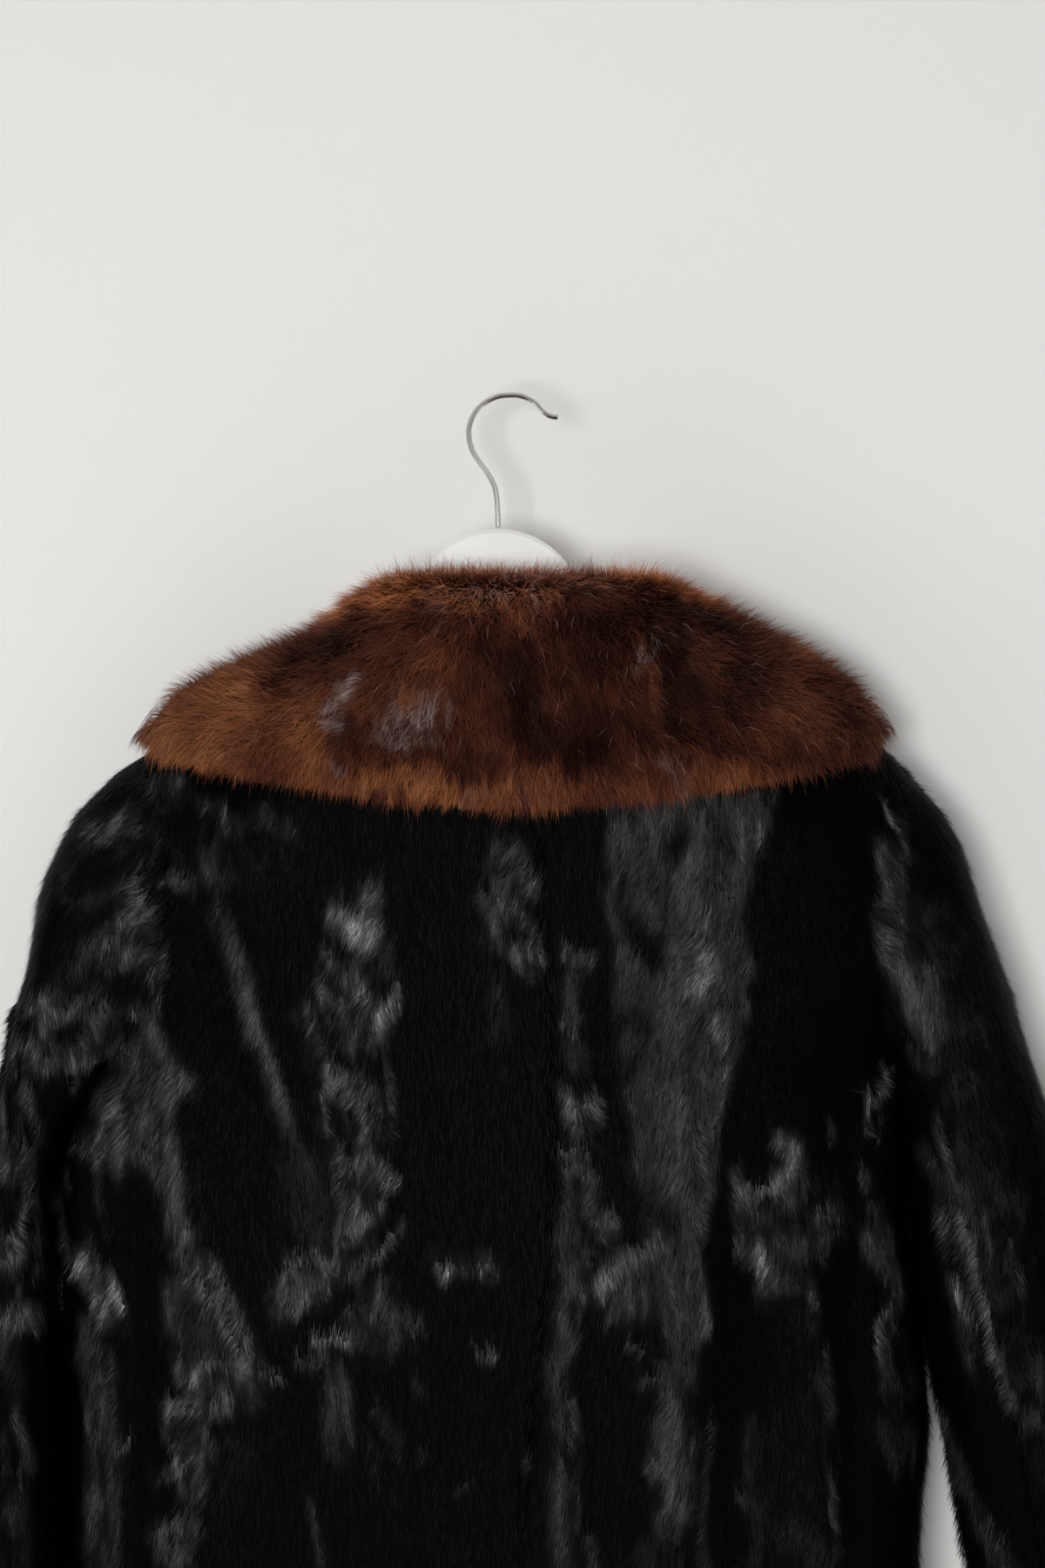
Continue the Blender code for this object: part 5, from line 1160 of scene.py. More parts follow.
def collar(side, panels):
    """Skin points of half the collar, their outward directions, the pile's reach and each column's angle."""
    sign = 1 if side == "right" else -1
    stations = column(COLLAR, COLLAR_COLUMNS, "angle")
    base, way = collar_base(side, panels)
    base = base * (sign, 1, 1)
    on_back = 2 * NECK_ACROSS
    on_front = len(base) - 1 - on_back
    angles = np.concatenate([90 * np.arange(on_back) / on_back, 90 + 90 * np.arange(on_front + 1) / on_front])
    skin = []
    for angle, start in zip(angles, base):
        value = {n: float(smooth(stations, column(COLLAR, COLLAR_COLUMNS, n), angle)) for n in COLLAR_COLUMNS}
        over = math.exp(-(((angle - 88) / 28) ** 2))
        tip = (TIP_REACH[side] - HAIR_ROOM) * over
        a = math.radians(angle)
        plan = unit(np.array([math.sin(a) * 0.80, -math.cos(a), 0.0]))
        up = np.array([0.0, 0.0, 1.0])
        drop = ROLL_DROP[side] * math.exp(-(((angle - 74) / 22) ** 2))
        roll = np.array([value["roll_x"] - drop * 0.6, value["roll_y"], -value["roll_down"] - drop])
        up_by = HAIR_REACH * (1 - 1.15 * math.exp(-(((angle - 90) / 20) ** 2)))
        up_by -= TIP_FALL[side] * math.exp(-(((angle - 88) / 15) ** 2))
        edge = np.array([value["edge_x"] + tip, value["edge_y"], -value["edge_down"] + up_by])
        # The stand rises from the neckline, inside it, to the roll line.
        foot = start
        inside = roll - plan * FOLD_RADIUS
        outside = roll + plan * FOLD_RADIUS
        line = [foot, foot * 0.5 + inside * 0.5 - plan * 0.001, inside]
        line.append(roll - plan * FOLD_RADIUS * 0.5 + up * FOLD_RADIUS * 0.9)
        line.append(roll + plan * FOLD_RADIUS * 0.5 + up * FOLD_RADIUS * 0.9)
        line.append(outside)
        reach = np.linalg.norm(edge - outside)
        over = math.sin(a) ** 4
        start_way = unit(plan * (0.45 + COLLAR_RISE[side] * over) - up) * reach * 0.9
        end_way = unit((edge - outside) / reach * max(1 - TIP_TURN[side] * over, 0) - up * TIP_TURN[side] * over)
        end_way = end_way * reach * 0.9
        for t in np.arange(1, FALL_ROWS + 1) / FALL_ROWS:
            p = (
                (2 * t**3 - 3 * t**2 + 1) * outside
                + (t**3 - 2 * t**2 + t) * start_way
                + (3 * t**2 - 2 * t**3) * edge
                + (t**3 - t**2) * end_way
            )
            p[0] *= sign
            p = push_out(p, COLLAR_LIFT + 0.0025 * float(ease((abs(p[0]) - 0.17) / 0.03)))
            p[0] *= sign
            line.append(p)
        skin.append(line)
    skin = np.array(skin)  # (around, rows, 3)
    skin[0, :, 0] = SEAM_GAP / 2
    skin[-1, 1:, 0] = np.maximum(skin[-1, 1:, 0], FRONT_COLLAR_END)
    skin[..., 0] *= sign
    normal = grid_normals(skin, 1, (0.0, -1.0, 0.3))
    normal[:, 0] = -way
    normal[0, :, 0] = 0
    normal = unit(normal)
    thick = np.full(skin.shape[1], PILE)
    thick[0], thick[1] = WALL, PILE * 0.7
    thick[-1], thick[-2] = COLLAR_EDGE, PILE * 0.92
    thick = np.repeat(thick[None], skin.shape[0], axis=0)
    over = np.sin(np.radians(angles)) ** 4
    thick[:, -1] += (COLLAR_TIP_PILE - COLLAR_EDGE) * over
    thick[:, -2] += (PILE - PILE * 0.92) * over
    thick[-1] *= 0.6
    return skin, normal, thick, angles


# ---------------------------------------------------------------- seeded noise
def hashed(i, j, k, seed):
    """A number from 0 to 1 for each cell of a lattice."""
    n = ((i * 73856093) ^ (j * 19349663) ^ (k * 83492791) ^ (seed * 668265263)) & 0xFFFFFFFF
    n = ((n ^ (n >> 16)) * 0x45D9F3B) & 0xFFFFFFFF
    n = ((n ^ (n >> 16)) * 0x45D9F3B) & 0xFFFFFFFF
    return ((n ^ (n >> 16)) & 0xFFFF) / 65535.0


def noise(p, cells, seed=0):
    """Smooth noise from -1 to 1 at points, with that many cells to the metre."""
    q = np.asarray(p, float) * cells + 1000.0
    base = np.floor(q).astype(np.int64)
    f = q - base
    f = f * f * (3 - 2 * f)
    total = 0.0
    for corner in range(8):
        d = (corner & 1, corner >> 1 & 1, corner >> 2 & 1)
        weight = 1.0
        for axis in range(3):
            weight = weight * (f[..., axis] if d[axis] else 1 - f[..., axis])
        total = total + weight * hashed(base[..., 0] + d[0], base[..., 1] + d[1], base[..., 2] + d[2], seed)
    return 2 * total - 1


def rough(p, cells, seed=0, layers=3):
    """Layered noise from about -1 to 1."""
    cells = np.asarray(cells, float)
    total, share, size = 0.0, 0.0, 1.0
    for layer in range(layers):
        total = total + noise(p, cells * 2.03**layer, seed + 17 * layer) * size
        share += size
        size *= 0.5
    return total / share * 1.5


# ---------------------------------------------------------------- meshes
def mesh_object(name, points, faces, sides, materials, material_index=None, smooth=True):
    """A mesh from arrays: points, and the corners of its faces, all with that many sides."""
    points = np.array(points, float).reshape(-1, 3)
    points[:, 0] += CENTRE_X
    faces = np.asarray(faces, np.int32).reshape(-1, sides)
    mesh = bpy.data.meshes.new(name)
    mesh.vertices.add(len(points))
    mesh.vertices.foreach_set("co", points.astype(np.float32).ravel())
    mesh.loops.add(faces.size)
    mesh.loops.foreach_set("vertex_index", faces.ravel())
    mesh.polygons.add(len(faces))
    mesh.polygons.foreach_set("loop_start", np.arange(0, faces.size, sides, dtype=np.int32))
    mesh.polygons.foreach_set("use_smooth", np.full(len(faces), smooth))
    for material in materials:
        mesh.materials.append(material)
    if material_index is not None:
        mesh.polygons.foreach_set("material_index", np.asarray(material_index, np.int32))
    mesh.update(calc_edges=True)
    obj = bpy.data.objects.new(name, mesh)
    bpy.context.scene.collection.objects.link(obj)
    return obj


def lay_out(obj, corners):
    """The flat map that the piece's colours are kept in."""
    layer = obj.data.uv_layers.new(name="OFBake")
    layer.data.foreach_set("uv", np.asarray(corners, np.float32).ravel())


def shell(name, outer, inner, materials):
    """A thin closed skin between two grids; its first material outside and its second inside."""
    rows, columns = outer.shape[:2]
    size = rows * columns
    cell = np.arange(size).reshape(rows, columns)
    quads = np.stack([cell[:-1, :-1], cell[1:, :-1], cell[1:, 1:], cell[:-1, 1:]], axis=-1).reshape(-1, 4)
    flat = outer.reshape(-1, 3)
    side = np.cross(flat[quads[:, 2]] - flat[quads[:, 0]], flat[quads[:, 3]] - flat[quads[:, 1]])
    away = (flat - inner.reshape(-1, 3))[quads].mean(axis=1)
    if (side * away).sum() < 0:
        quads = quads[:, ::-1]
    ring = np.concatenate([cell[0, :-1], cell[:-1, -1], cell[-1, :0:-1], cell[:0:-1, 0]])
    following = np.roll(ring, -1)
    rim = np.stack([ring, following, following + size, ring + size], axis=-1)
    # The rim's faces turn the same way as the outer faces along their shared edge.
    pairs = {(int(q[k]), int(q[(k + 1) % 4])) for q in quads for k in range(4)}
    if (int(ring[0]), int(following[0])) in pairs:
        rim = rim[:, ::-1]
    faces = np.concatenate([quads, quads[:, ::-1] + size, rim])
    index = np.concatenate([np.zeros(len(quads)), np.ones(len(quads)), np.zeros(len(rim))])
    obj = mesh_object(name, np.concatenate([flat, inner.reshape(-1, 3)]), faces, 4, materials, index)
    i, j = np.divmod(np.arange(size), columns)
    u, v = 0.01 + 0.98 * j / (columns - 1), i / (rows - 1)
    upper = np.stack([u, 0.01 + 0.47 * v], axis=-1)
    lower = np.stack([u, 0.52 + 0.47 * v], axis=-1)
    both = np.concatenate([upper, lower])
    at = 0.01 + 0.98 * np.arange(len(ring) + 1) / len(ring)
    strip = np.stack(
        [
            np.stack([at[:-1], np.full(len(ring), 0.490)], -1),
            np.stack([at[1:], np.full(len(ring), 0.490)], -1),
            np.stack([at[1:], np.full(len(ring), 0.510)], -1),
            np.stack([at[:-1], np.full(len(ring), 0.510)], -1),
        ],
        axis=1,
    )
    if (rim[0] != np.array([ring[0], following[0], following[0] + size, ring[0] + size])).any():
        strip = strip[:, ::-1]
    lay_out(obj, np.concatenate([both[quads], both[quads[:, ::-1] + size], strip]))
    return obj


def hair_object(name, points, faces, colours, normals, material):
    """Hairs as one mesh. points are (hair, corner, 3), faces index a hair's own corners."""
    hairs, corners = points.shape[:2]
    faces = np.asarray(faces)
    every = (faces[None] + (np.arange(hairs) * corners)[:, None, None]).reshape(-1, 3)
    obj = mesh_object(name, points, every, 3, [material])
    mesh = obj.data
    layer = mesh.attributes.new("hair", "FLOAT_COLOR", "POINT")
    rgba = np.ones((hairs * corners, 4), np.float32)
    rgba[:, :3] = colours.reshape(-1, 3)
    layer.data.foreach_set("color", rgba.ravel())
    # Each hair has a cell of its own in the flat map.
    wide = int(math.ceil(math.sqrt(hairs)))
    k = np.arange(hairs)
    origin = np.stack([k % wide, k // wide], axis=-1) / wide
    if corners == 3:
        shape = np.array([(0.03, 0.03), (0.97, 0.03), (0.5, 0.97)])
    else:
        shape = np.array([(0.03, 0.03), (0.97, 0.03), (0.06, 0.55), (0.94, 0.55), (0.5, 0.97)])
    uv = origin[:, None] + shape[None] / wide
    lay_out(obj, uv[:, faces].reshape(-1, 2))
    mesh.normals_split_custom_set_from_vertices(normals.reshape(-1, 3).astype(np.float32))
    return obj


def paint_skin_sheen(obj, points, way, chart):
    """Gives a skin's outer points a dimmed copy of the painted sheen of the pile over them."""
    value = sheen(points.reshape(-1, 3), -way[..., 1].ravel(), chart)
    lit = np.clip(value, 0, 1)[:, None] ** 2.1
    rgba = np.ones((len(obj.data.vertices), 4), np.float32)
    rgba[:, :3] = BLACK
    rgba[: len(value), :3] = np.array(BLACK) + 0.34 * (np.array(PAINTED_SHEEN) - BLACK) * lit
    layer = obj.data.attributes.new("hair", "FLOAT_COLOR", "POINT")
    layer.data.foreach_set("color", rgba.ravel())


def between(grid, i, j, u, v):
    """A grid's values inside its cells."""
    u, v = u[:, None], v[:, None]
    return (
        grid[i, j] * (1 - u) * (1 - v)
        + grid[i + 1, j] * u * (1 - v)
        + grid[i, j + 1] * (1 - u) * v
        + grid[i + 1, j + 1] * u * v
    )


def scatter(points, count, rng, weight=None):
    """Places spread evenly over a grid of points: cell row, cell column and shares within."""
    a, b, c, d = points[:-1, :-1], points[:-1, 1:], points[1:, 1:], points[1:, :-1]
    area = np.linalg.norm(np.cross(c - a, d - b), axis=-1) / 2
    if weight is not None:
        area = area * weight
    total = np.cumsum(area.ravel())
    at = (np.arange(count) + rng.random(count)) / count * total[-1]
    cell = np.clip(np.searchsorted(total, at), 0, area.size - 1)
    i, j = np.divmod(cell, area.shape[1])
    return i, j, rng.random(count), rng.random(count)


def turned(v, axis, angle):
    """v turned about unit axes."""
    c, s = np.cos(angle)[:, None], np.sin(angle)[:, None]
    return v * c + np.cross(axis, v) * s + axis * (axis * v).sum(-1, keepdims=True) * (1 - c)


# ---------------------------------------------------------------- charts of tone
class Chart:
    """Values over x and down, filled by strokes and read between its places."""

    STEP = 0.001

    def __init__(self, x0, x1, d0, d1, warp, seed):
        self.x0, self.d0 = x0, d0
        xs, ds = np.arange(x0, x1, self.STEP), np.arange(d0, d1, self.STEP)
        self.x, self.d = np.meshgrid(xs, ds)
        self.p = np.stack([self.x, self.d, np.zeros_like(self.x)], axis=-1)
        a, b = rough(self.p, (45, 30, 1), seed), noise(self.p, (220, 90, 1), seed + 5)
        c, d = rough(self.p, (30, 24, 1), seed + 9), noise(self.p, (300, 70, 1), seed + 14)
        self.wx = self.x + warp * (0.0035 * a + 0.0013 * b)
        self.wd = self.d + warp * (0.0060 * c + 0.0040 * d)

    def stroke(self, x1, d1, x2, d2, half, reach=3.0, crisp=0.0):
        """The part of the chart that a stroke reaches, with its distance from the stroke in half
        widths. A crisp stroke ends sharply on one side and fades out on the other."""
        room = half * reach + 0.014
        i0 = max(int((min(d1, d2) - room - self.d0) / self.STEP), 0)
        i1 = max(int((max(d1, d2) + room - self.d0) / self.STEP), 0)
        j0 = max(int((min(x1, x2) - room - self.x0) / self.STEP), 0)
        j1 = max(int((max(x1, x2) + room - self.x0) / self.STEP), 0)
        part = (slice(i0, i1), slice(j0, j1))
        run = np.array([x2 - x1, d2 - d1])
        length = max(float(run @ run), 1e-9)
        t = np.clip(((self.wx[part] - x1) * run[0] + (self.wd[part] - d1) * run[1]) / length, 0, 1)
        away = np.hypot(self.wx[part] - x1 - run[0] * t, self.wd[part] - d1 - run[1] * t) / half
        if crisp:
            side = (self.wx[part] - x1) * run[1] - (self.wd[part] - d1) * run[0]
            side = side / max(math.sqrt(length) * half, 1e-9)
            even = ease(side * math.copysign(1, crisp) * 1.5 + 0.5)
            away = away * (1 + abs(crisp) * (1.1 * even - 0.28 * (1 - even)))
        return part, away

    def patch(self, corners, edge):
        """The part of the chart near a patch, and how far inside it each place is, in edge widths."""
        xs, ds = np.array(corners)[:, 0] / 1000, np.array(corners)[:, 1] / 1000
        room = edge * 2 + 0.014
        i0 = max(int((ds.min() - room - self.d0) / self.STEP), 0)
        i1 = max(int((ds.max() + room - self.d0) / self.STEP), 0)
        j0 = max(int((xs.min() - room - self.x0) / self.STEP), 0)
        j1 = max(int((xs.max() + room - self.x0) / self.STEP), 0)
        part = (slice(i0, i1), slice(j0, j1))
        x, d = self.wx[part], self.wd[part]
        away = np.full(x.shape, 1.0)
        inside = np.zeros(x.shape, bool)
        for x1, d1, x2, d2 in zip(xs, ds, np.roll(xs, -1), np.roll(ds, -1)):
            run = np.array([x2 - x1, d2 - d1])
            t = np.clip(((x - x1) * run[0] + (d - d1) * run[1]) / max(float(run @ run), 1e-9), 0, 1)
            away = np.minimum(away, np.hypot(x - x1 - run[0] * t, d - d1 - run[1] * t))
            if d1 != d2:
                inside ^= ((d1 > d) != (d2 > d)) & (x < x1 + (d - d1) / (d2 - d1) * (x2 - x1))
        return part, np.where(inside, away, -away) / edge

    def read(self, values, x, down):
        i = np.clip((down - self.d0) / self.STEP, 0, values.shape[0] - 1.001)
        j = np.clip((x - self.x0) / self.STEP, 0, values.shape[1] - 1.001)
        a, b = i.astype(int), j.astype(int)
        u, v = i - a, j - b
        return (
            values[a, b] * (1 - u) * (1 - v)
            + values[a + 1, b] * u * (1 - v)
            + values[a, b + 1] * (1 - u) * v
            + values[a + 1, b + 1] * u * v
        )


def sheen_chart():
    """Painted sheen of the black pile as drawn, and how far its hairs turn from straight down."""
    chart = Chart(-0.420, 0.420, 0.150, 0.840, 1.0, SEED)
    streaks = 0.5 + 0.5 * noise(chart.p, (420, 75, 1), SEED + 31)
    bits = 0.5 + 0.5 * noise(chart.p, (190, 100, 1), SEED + 37)
    curls = chart.p + 0.004 * np.stack([noise(chart.p, 120, 23), noise(chart.p, 120, 29), chart.p[..., 2]], -1)
    curls = np.clip(1 - np.abs(noise(curls, (105, 72, 1), SEED + 41)) * 2.3, 0, 1) ** 1.3
    values, turn = np.zeros_like(chart.x), np.zeros_like(chart.x)
    blots = 0.5 + 0.5 * noise(chart.p, (62, 44, 1), SEED + 43)
    fine = 0.5 + 0.5 * noise(chart.p, (480, 260, 1), SEED + 47)
    for value, edge, figure, *corners in PATCHES:
        part, deep = chart.patch(corners, edge / 1000)
        figured = 0.20 + 1.10 * curls[part] + 0.45 * bits[part] - 0.25 * blots[part]
        calm = 0.82 + 0.22 * blots[part] + 0.14 * bits[part]
        level = (calm * (1 - figure) + figured * figure) * (0.86 + 0.28 * fine[part])
        # Ragged locks make the patch's edge.
        ragged = deep + 0.55 * (curls[part] - 0.35) + 0.35 * (streaks[part] - 0.5)
        values[part] = np.maximum(values[part], 0.82 * value * level * ease(ragged * 0.50 + 0.42))
    for k, (kind, x1, d1, x2, d2, half, value) in enumerate(STROKES):
        sign = 1 if hashed(k, 7, 3, SEED) > 0.5 else -1
        crisp = {"soft": 0.25, "tuft": 0.55, "line": 0.9, "dark": 0.0}[kind] * sign
        part, away = chart.stroke(x1 / 1000, d1 / 1000, x2 / 1000, d2 / 1000, half / 1000, crisp=crisp)
        s, b, c = streaks[part], bits[part], curls[part]
        if kind == "dark":
            values[part] *= 1 - value * np.exp(-((away * 0.95) ** 3))
            continue
        if kind == "soft":
            made = value * np.exp(-(away**2)) * (0.74 + 0.18 * s + 0.22 * c + 0.16 * fine[part])
        elif kind == "tuft":
            made = value * np.exp(-((away * 0.9) ** 3)) * (0.34 + 0.16 * s + 0.20 * b + 0.75 * c)
        else:
            made = value * np.exp(-(away**2)) * (0.80 + 0.35 * b)
        values[part] = np.maximum(values[part], made)
        # Hairs stand across the ridges that they make.
        lean = math.atan2(-(d2 - d1), x2 - x1)
        lean = math.atan(math.tan(lean)) if abs(math.cos(lean)) > 1e-6 else math.pi / 2
        lean = lean if abs(lean) < 1.35 else sign * abs(lean)
        m = np.exp(-((away * 0.7) ** 2)) * {"soft": 0.25, "tuft": 0.85, "line": 0.85}[kind]
        turn[part] = turn[part] * (1 - m) + lean * 0.62 * m
    return chart, values, turn


def moire(p):
    """The pile's wavy figure of painted sheen, where no stroke says otherwise."""
    q = p + 0.012 * np.stack([rough(p, 26, 41), rough(p, 26, 43), rough(p, 26, 47)], axis=-1)
    broad = np.clip(0.68 + 0.7 * rough(q, (9, 9, 4), 51, 2), 0.12, 1)
    ridge = np.clip(1 - np.abs(noise(q, (30, 30, 9), 53)) * 3.2, 0, 1) ** 1.5
    fine = np.clip(1 - np.abs(noise(q, (75, 75, 26), 57)) * 3.0, 0, 1) ** 1.5
    blot = np.clip(noise(q, (20, 20, 9), 59) - 0.15, 0, 1)
    return 0.09 + broad * (0.60 * ridge + 0.30 * fine) + 0.75 * blot * broad


def sheen(p, facing, chart):
    """The black pile's painted sheen at points p whose surface turns by facing to the back."""
    drawn, values, _ = chart
    w = ease((facing + 0.12) / 0.2) * ease((0.735 - (-p[:, 2])) / 0.06)
    made = np.zeros(len(p))
    use = w > 0
    made[use] = drawn.read(values, p[use, 0], -p[use, 2]) * w[use]
    use = w < 1
    calmer = 1 - 0.38 * ease((facing[use] + 0.25) / 0.5)
    made[use] += moire(p[use]) * calmer * (1 - w[use])
    return made


def mink_chart():
    chart = Chart(-0.320, 0.320, 0.080, 0.380, 1.6, SEED + 3)
    tone, weight = np.zeros_like(chart.x), np.zeros_like(chart.x)
    grey = np.zeros_like(chart.x)
    for x1, d1, x2, d2, half, value, strength in MINK_TONES:
        part, away = chart.stroke(x1 / 1000, d1 / 1000, x2 / 1000, d2 / 1000, half / 1000)
        w = strength * np.exp(-(away**2))
        tone[part] += value * w
        weight[part] += w
    for x1, d1, x2, d2, half, amount in MINK_GREYS:
        part, away = chart.stroke(x1 / 1000, d1 / 1000, x2 / 1000, d2 / 1000, half / 1000)
        bits = 0.75 + 0.5 * noise(chart.p[part], (260, 160, 1), 71)
        grey[part] = np.maximum(grey[part], 0.85 * amount * np.exp(-((away * 0.8) ** 2)) * bits)
    return chart, tone, weight, grey


def mink_tone(p, facing, share, chart):
    """The mink's tone and its pale share at points p; share counts out from the roll line."""
    drawn, tone, weight, grey = chart
    x, down = p[:, 0], -p[:, 2]
    w = drawn.read(weight, x, down) * ease((facing + 0.15) / 0.4)
    drawn_tone = drawn.read(tone, x, down) / np.maximum(drawn.read(weight, x, down), 1e-6)
    base = 0.44 + 0.04 * ease((share - 0.60) / 0.35) + 0.23 * rough(p, 30, 73) + 0.12 * noise(p, 80, 77)
    # The tone is raised along the roll line and the fall's top, as painted light on hairs that face up, and lowered
    # again on the stand inside it.
    roll = np.exp(-((np.maximum(share - 0.01, 0) / 0.085) ** 2))
    base = base + 0.26 * roll - 0.16 * ease((0.01 - share) / 0.03)
    held = np.clip(w * 1.5, 0, 1)
    lower = ease((share - 0.55) / 0.3)
    made = base * (1 - held) + (drawn_tone + 0.17 * rough(p, 42, 79) + 0.06 * noise(p, 110, 85)) * held
    made = made + 0.035 - 0.085 * lower + 0.10 * lower * noise(p, 48, 87)
    # Pale from the painted sheen patches, and pale partings, made much stronger where the surface turns away from
    # the back, as painted light on the collar's top edge.
    pale = drawn.read(grey, x, down) * ease((facing + 0.15) / 0.4)
    away = 1 - ease((facing + 0.15) / 0.4)
    partings = np.clip(1 - np.abs(noise(p, (60, 60, 36), 81)) * 7, 0, 1) * np.clip(noise(p, 17, 83) * 2 - 0.4, 0, 1)
    return made, np.clip(pale + partings * (0.05 + 0.40 * away), 0, 1)


def mink_colour(tone, pale):
    at = [row[0] for row in MINK_COLOURS]
    tone = np.clip(tone, 0, 1)
    colour = np.stack([np.interp(tone, at, [row[k] for row in MINK_COLOURS]) for k in (1, 2, 3)], axis=-1)
    return colour + (np.array(MINK_GREY) - colour) * pale[:, None]


# ---------------------------------------------------------------- the black pile
def flow_of(points, way):
    """Which way the pile runs: down the rows and down the body."""
    run = unit(np.gradient(points, axis=0))
    down = np.zeros_like(points)
    down[..., 2] = -1
    down = down - way * (down * way).sum(-1, keepdims=True)
    run = run * 0.45 + down
    return unit(run - way * (run * way).sum(-1, keepdims=True))


def black_pile(name, grid, count, chart, covers, rng):
    """Short flat hairs over a grid of the surface, in one mesh; more of them where the painted sheen is bright."""
    points, way = grid
    mid = (points[:-1, :-1] + points[1:, 1:]) / 2
    mid_way = unit((way[:-1, :-1] + way[1:, 1:]) / 2)
    weight = np.ones(mid.shape[:2])
    for i, j in zip(*np.nonzero(mid[..., 2] > -0.36)):
        start = Vector(mid[i, j] - mid_way[i, j] * 0.002)
        if any(c.ray_cast(start, Vector(mid_way[i, j]), 0.06)[0] is not None for c in covers):
            weight[i, j] = 0.02
    i, j, u, v = scatter(points, int(count * 3.2), rng, weight)
    root, out = between(points, i, j, u, v), unit(between(way, i, j, u, v))
    value = sheen(root, -out[:, 1], chart)
    side = ease((np.abs(out[:, 0]) - 0.55) / 0.35)
    chance = 0.13 + 2.1 * np.clip(value, 0, 0.5) + 0.30 * side
    order = np.argsort(rng.random(len(root)) ** (1 / chance))[::-1][:count]
    order.sort()
    root, out, value, side = root[order], out[order], value[order], side[order]
    flow = unit(between(flow_of(points, way), i[order], j[order], u[order], v[order]))
    n = len(root)
    facing = -out[:, 1]
    # Hairs lie down the coat, swirl a little and stand up where the painted sheen is bright.
    w = ease((facing + 0.12) / 0.2) * ease((0.735 - (-root[:, 2])) / 0.06)
    drawn, _, turn = chart
    swirl = 0.20 * rough(root, (22, 22, 14), 101) + 0.12 * noise(root, (120, 120, 60), 103)
    swirl = swirl + rng.normal(0, 0.10, n) + drawn.read(turn, root[:, 0], -root[:, 2]) * w
    swirl = swirl + (1 - w) * value * 1.5 * noise(root, (45, 45, 22), 107)
    flow = turned(flow, out, swirl)
    across = np.cross(flow, out)
    lift = np.radians(5.5 + 2.5 * noise(root, (90, 90, 40), 109) + 13 * value + rng.normal(0, 2.0, n))
    tufts = ease((noise(root, (95, 95, 60), 111) - 0.1) / 0.5) * side
    loose = rng.random(n) < 0.015 + 0.26 * side + 0.45 * tufts
    lift = lift + np.radians(np.where(loose, 8 + 16 * rng.random(n), 5 * side))
    lift = np.clip(lift, math.radians(1.5), math.radians(38))
    along = flow * np.cos(lift)[:, None] + out * np.sin(lift)[:, None]
    long = PILE_LONG * np.exp(np.clip(rng.normal(0, 0.16, n), -0.3, 0.3)) * (1 + 0.40 * side)
    # They are cut short at the hem and the cuffs.
    left = grid[0].shape[0] - 1 - (i + u)[order]
    long = long * (0.55 + 0.45 * ease(left / 0.9))
    bright = ease(value / 0.3)
    roll = rng.normal(0, 1, n) * (0.12 + 0.22 * bright) + (0.15 + 0.25 * bright) * noise(root, (300, 300, 60), 113)
    broad = (0.8 + 0.4 * rng.random(n)) * (1 + 0.22 * bright)
    wide = turned(across, along, roll) * (PILE_WIDE / 2 * broad)[:, None]
    base = root - out * (SKIN_OUT - 0.0002)
    tip = base + along * long[:, None]
    # Neighbouring hairs lean together into small locks.
    lock = np.stack([noise(root, (170, 170, 60), 127), noise(root, (170, 170, 60), 131)], axis=-1)
    tip = tip + across * (lock[:, :1] * 0.0010) + out * (lock[:, 1:] * 0.0005)
    points = np.stack([base - wide, base + wide, tip], axis=1)
    # Painted sheen, read where each hair starts and ends, times each hair's random tone, which varies more inside
    # the painted sheen as painted glints of single hairs.
    at_tip = sheen(tip, facing, chart)
    calm = 0.10 + 0.30 * ease(value / 0.35)
    shade = np.exp(rng.normal(0, 1, n) * calm + calm * noise(root, (420, 420, 60), 137))
    colour = np.empty((n, 3, 3))
    for k, v, much in ((0, value, 0.82), (1, value, 0.82), (2, at_tip, 1.12)):
        lit = np.clip(v, 0, 1.2)[:, None] ** 2.1
        colour[:, k] = (np.array(BLACK) + (np.array(PAINTED_SHEEN) - BLACK) * lit) * shade[:, None] * much
    return hair_object(name, points, [(0, 1, 2)], colour, hair_normals(points, wide, out), MATERIALS["pile"])


def hair_normals(points, wide, out):
    """Normals that round each hair across its width. It also turns every hair's face outwards."""
    face = np.cross(points[:, 1] - points[:, 0], points[:, 2] - points[:, 0])
    flip = (face * out).sum(-1) < 0
    for a in range(0, points.shape[1] - 1, 2):
        points[flip, a], points[flip, a + 1] = points[flip, a + 1].copy(), points[flip, a].copy()
    face = unit(np.where(flip[:, None], -face, face))
    wide = unit(np.where(flip[:, None], -wide, wide))
    soft = unit(face * 0.55 + out * 0.55)
    made = [unit(soft + (0.45 if k % 2 else -0.45) * wide) for k in range(points.shape[1] - 1)]
    return np.stack([*made, soft], axis=1)


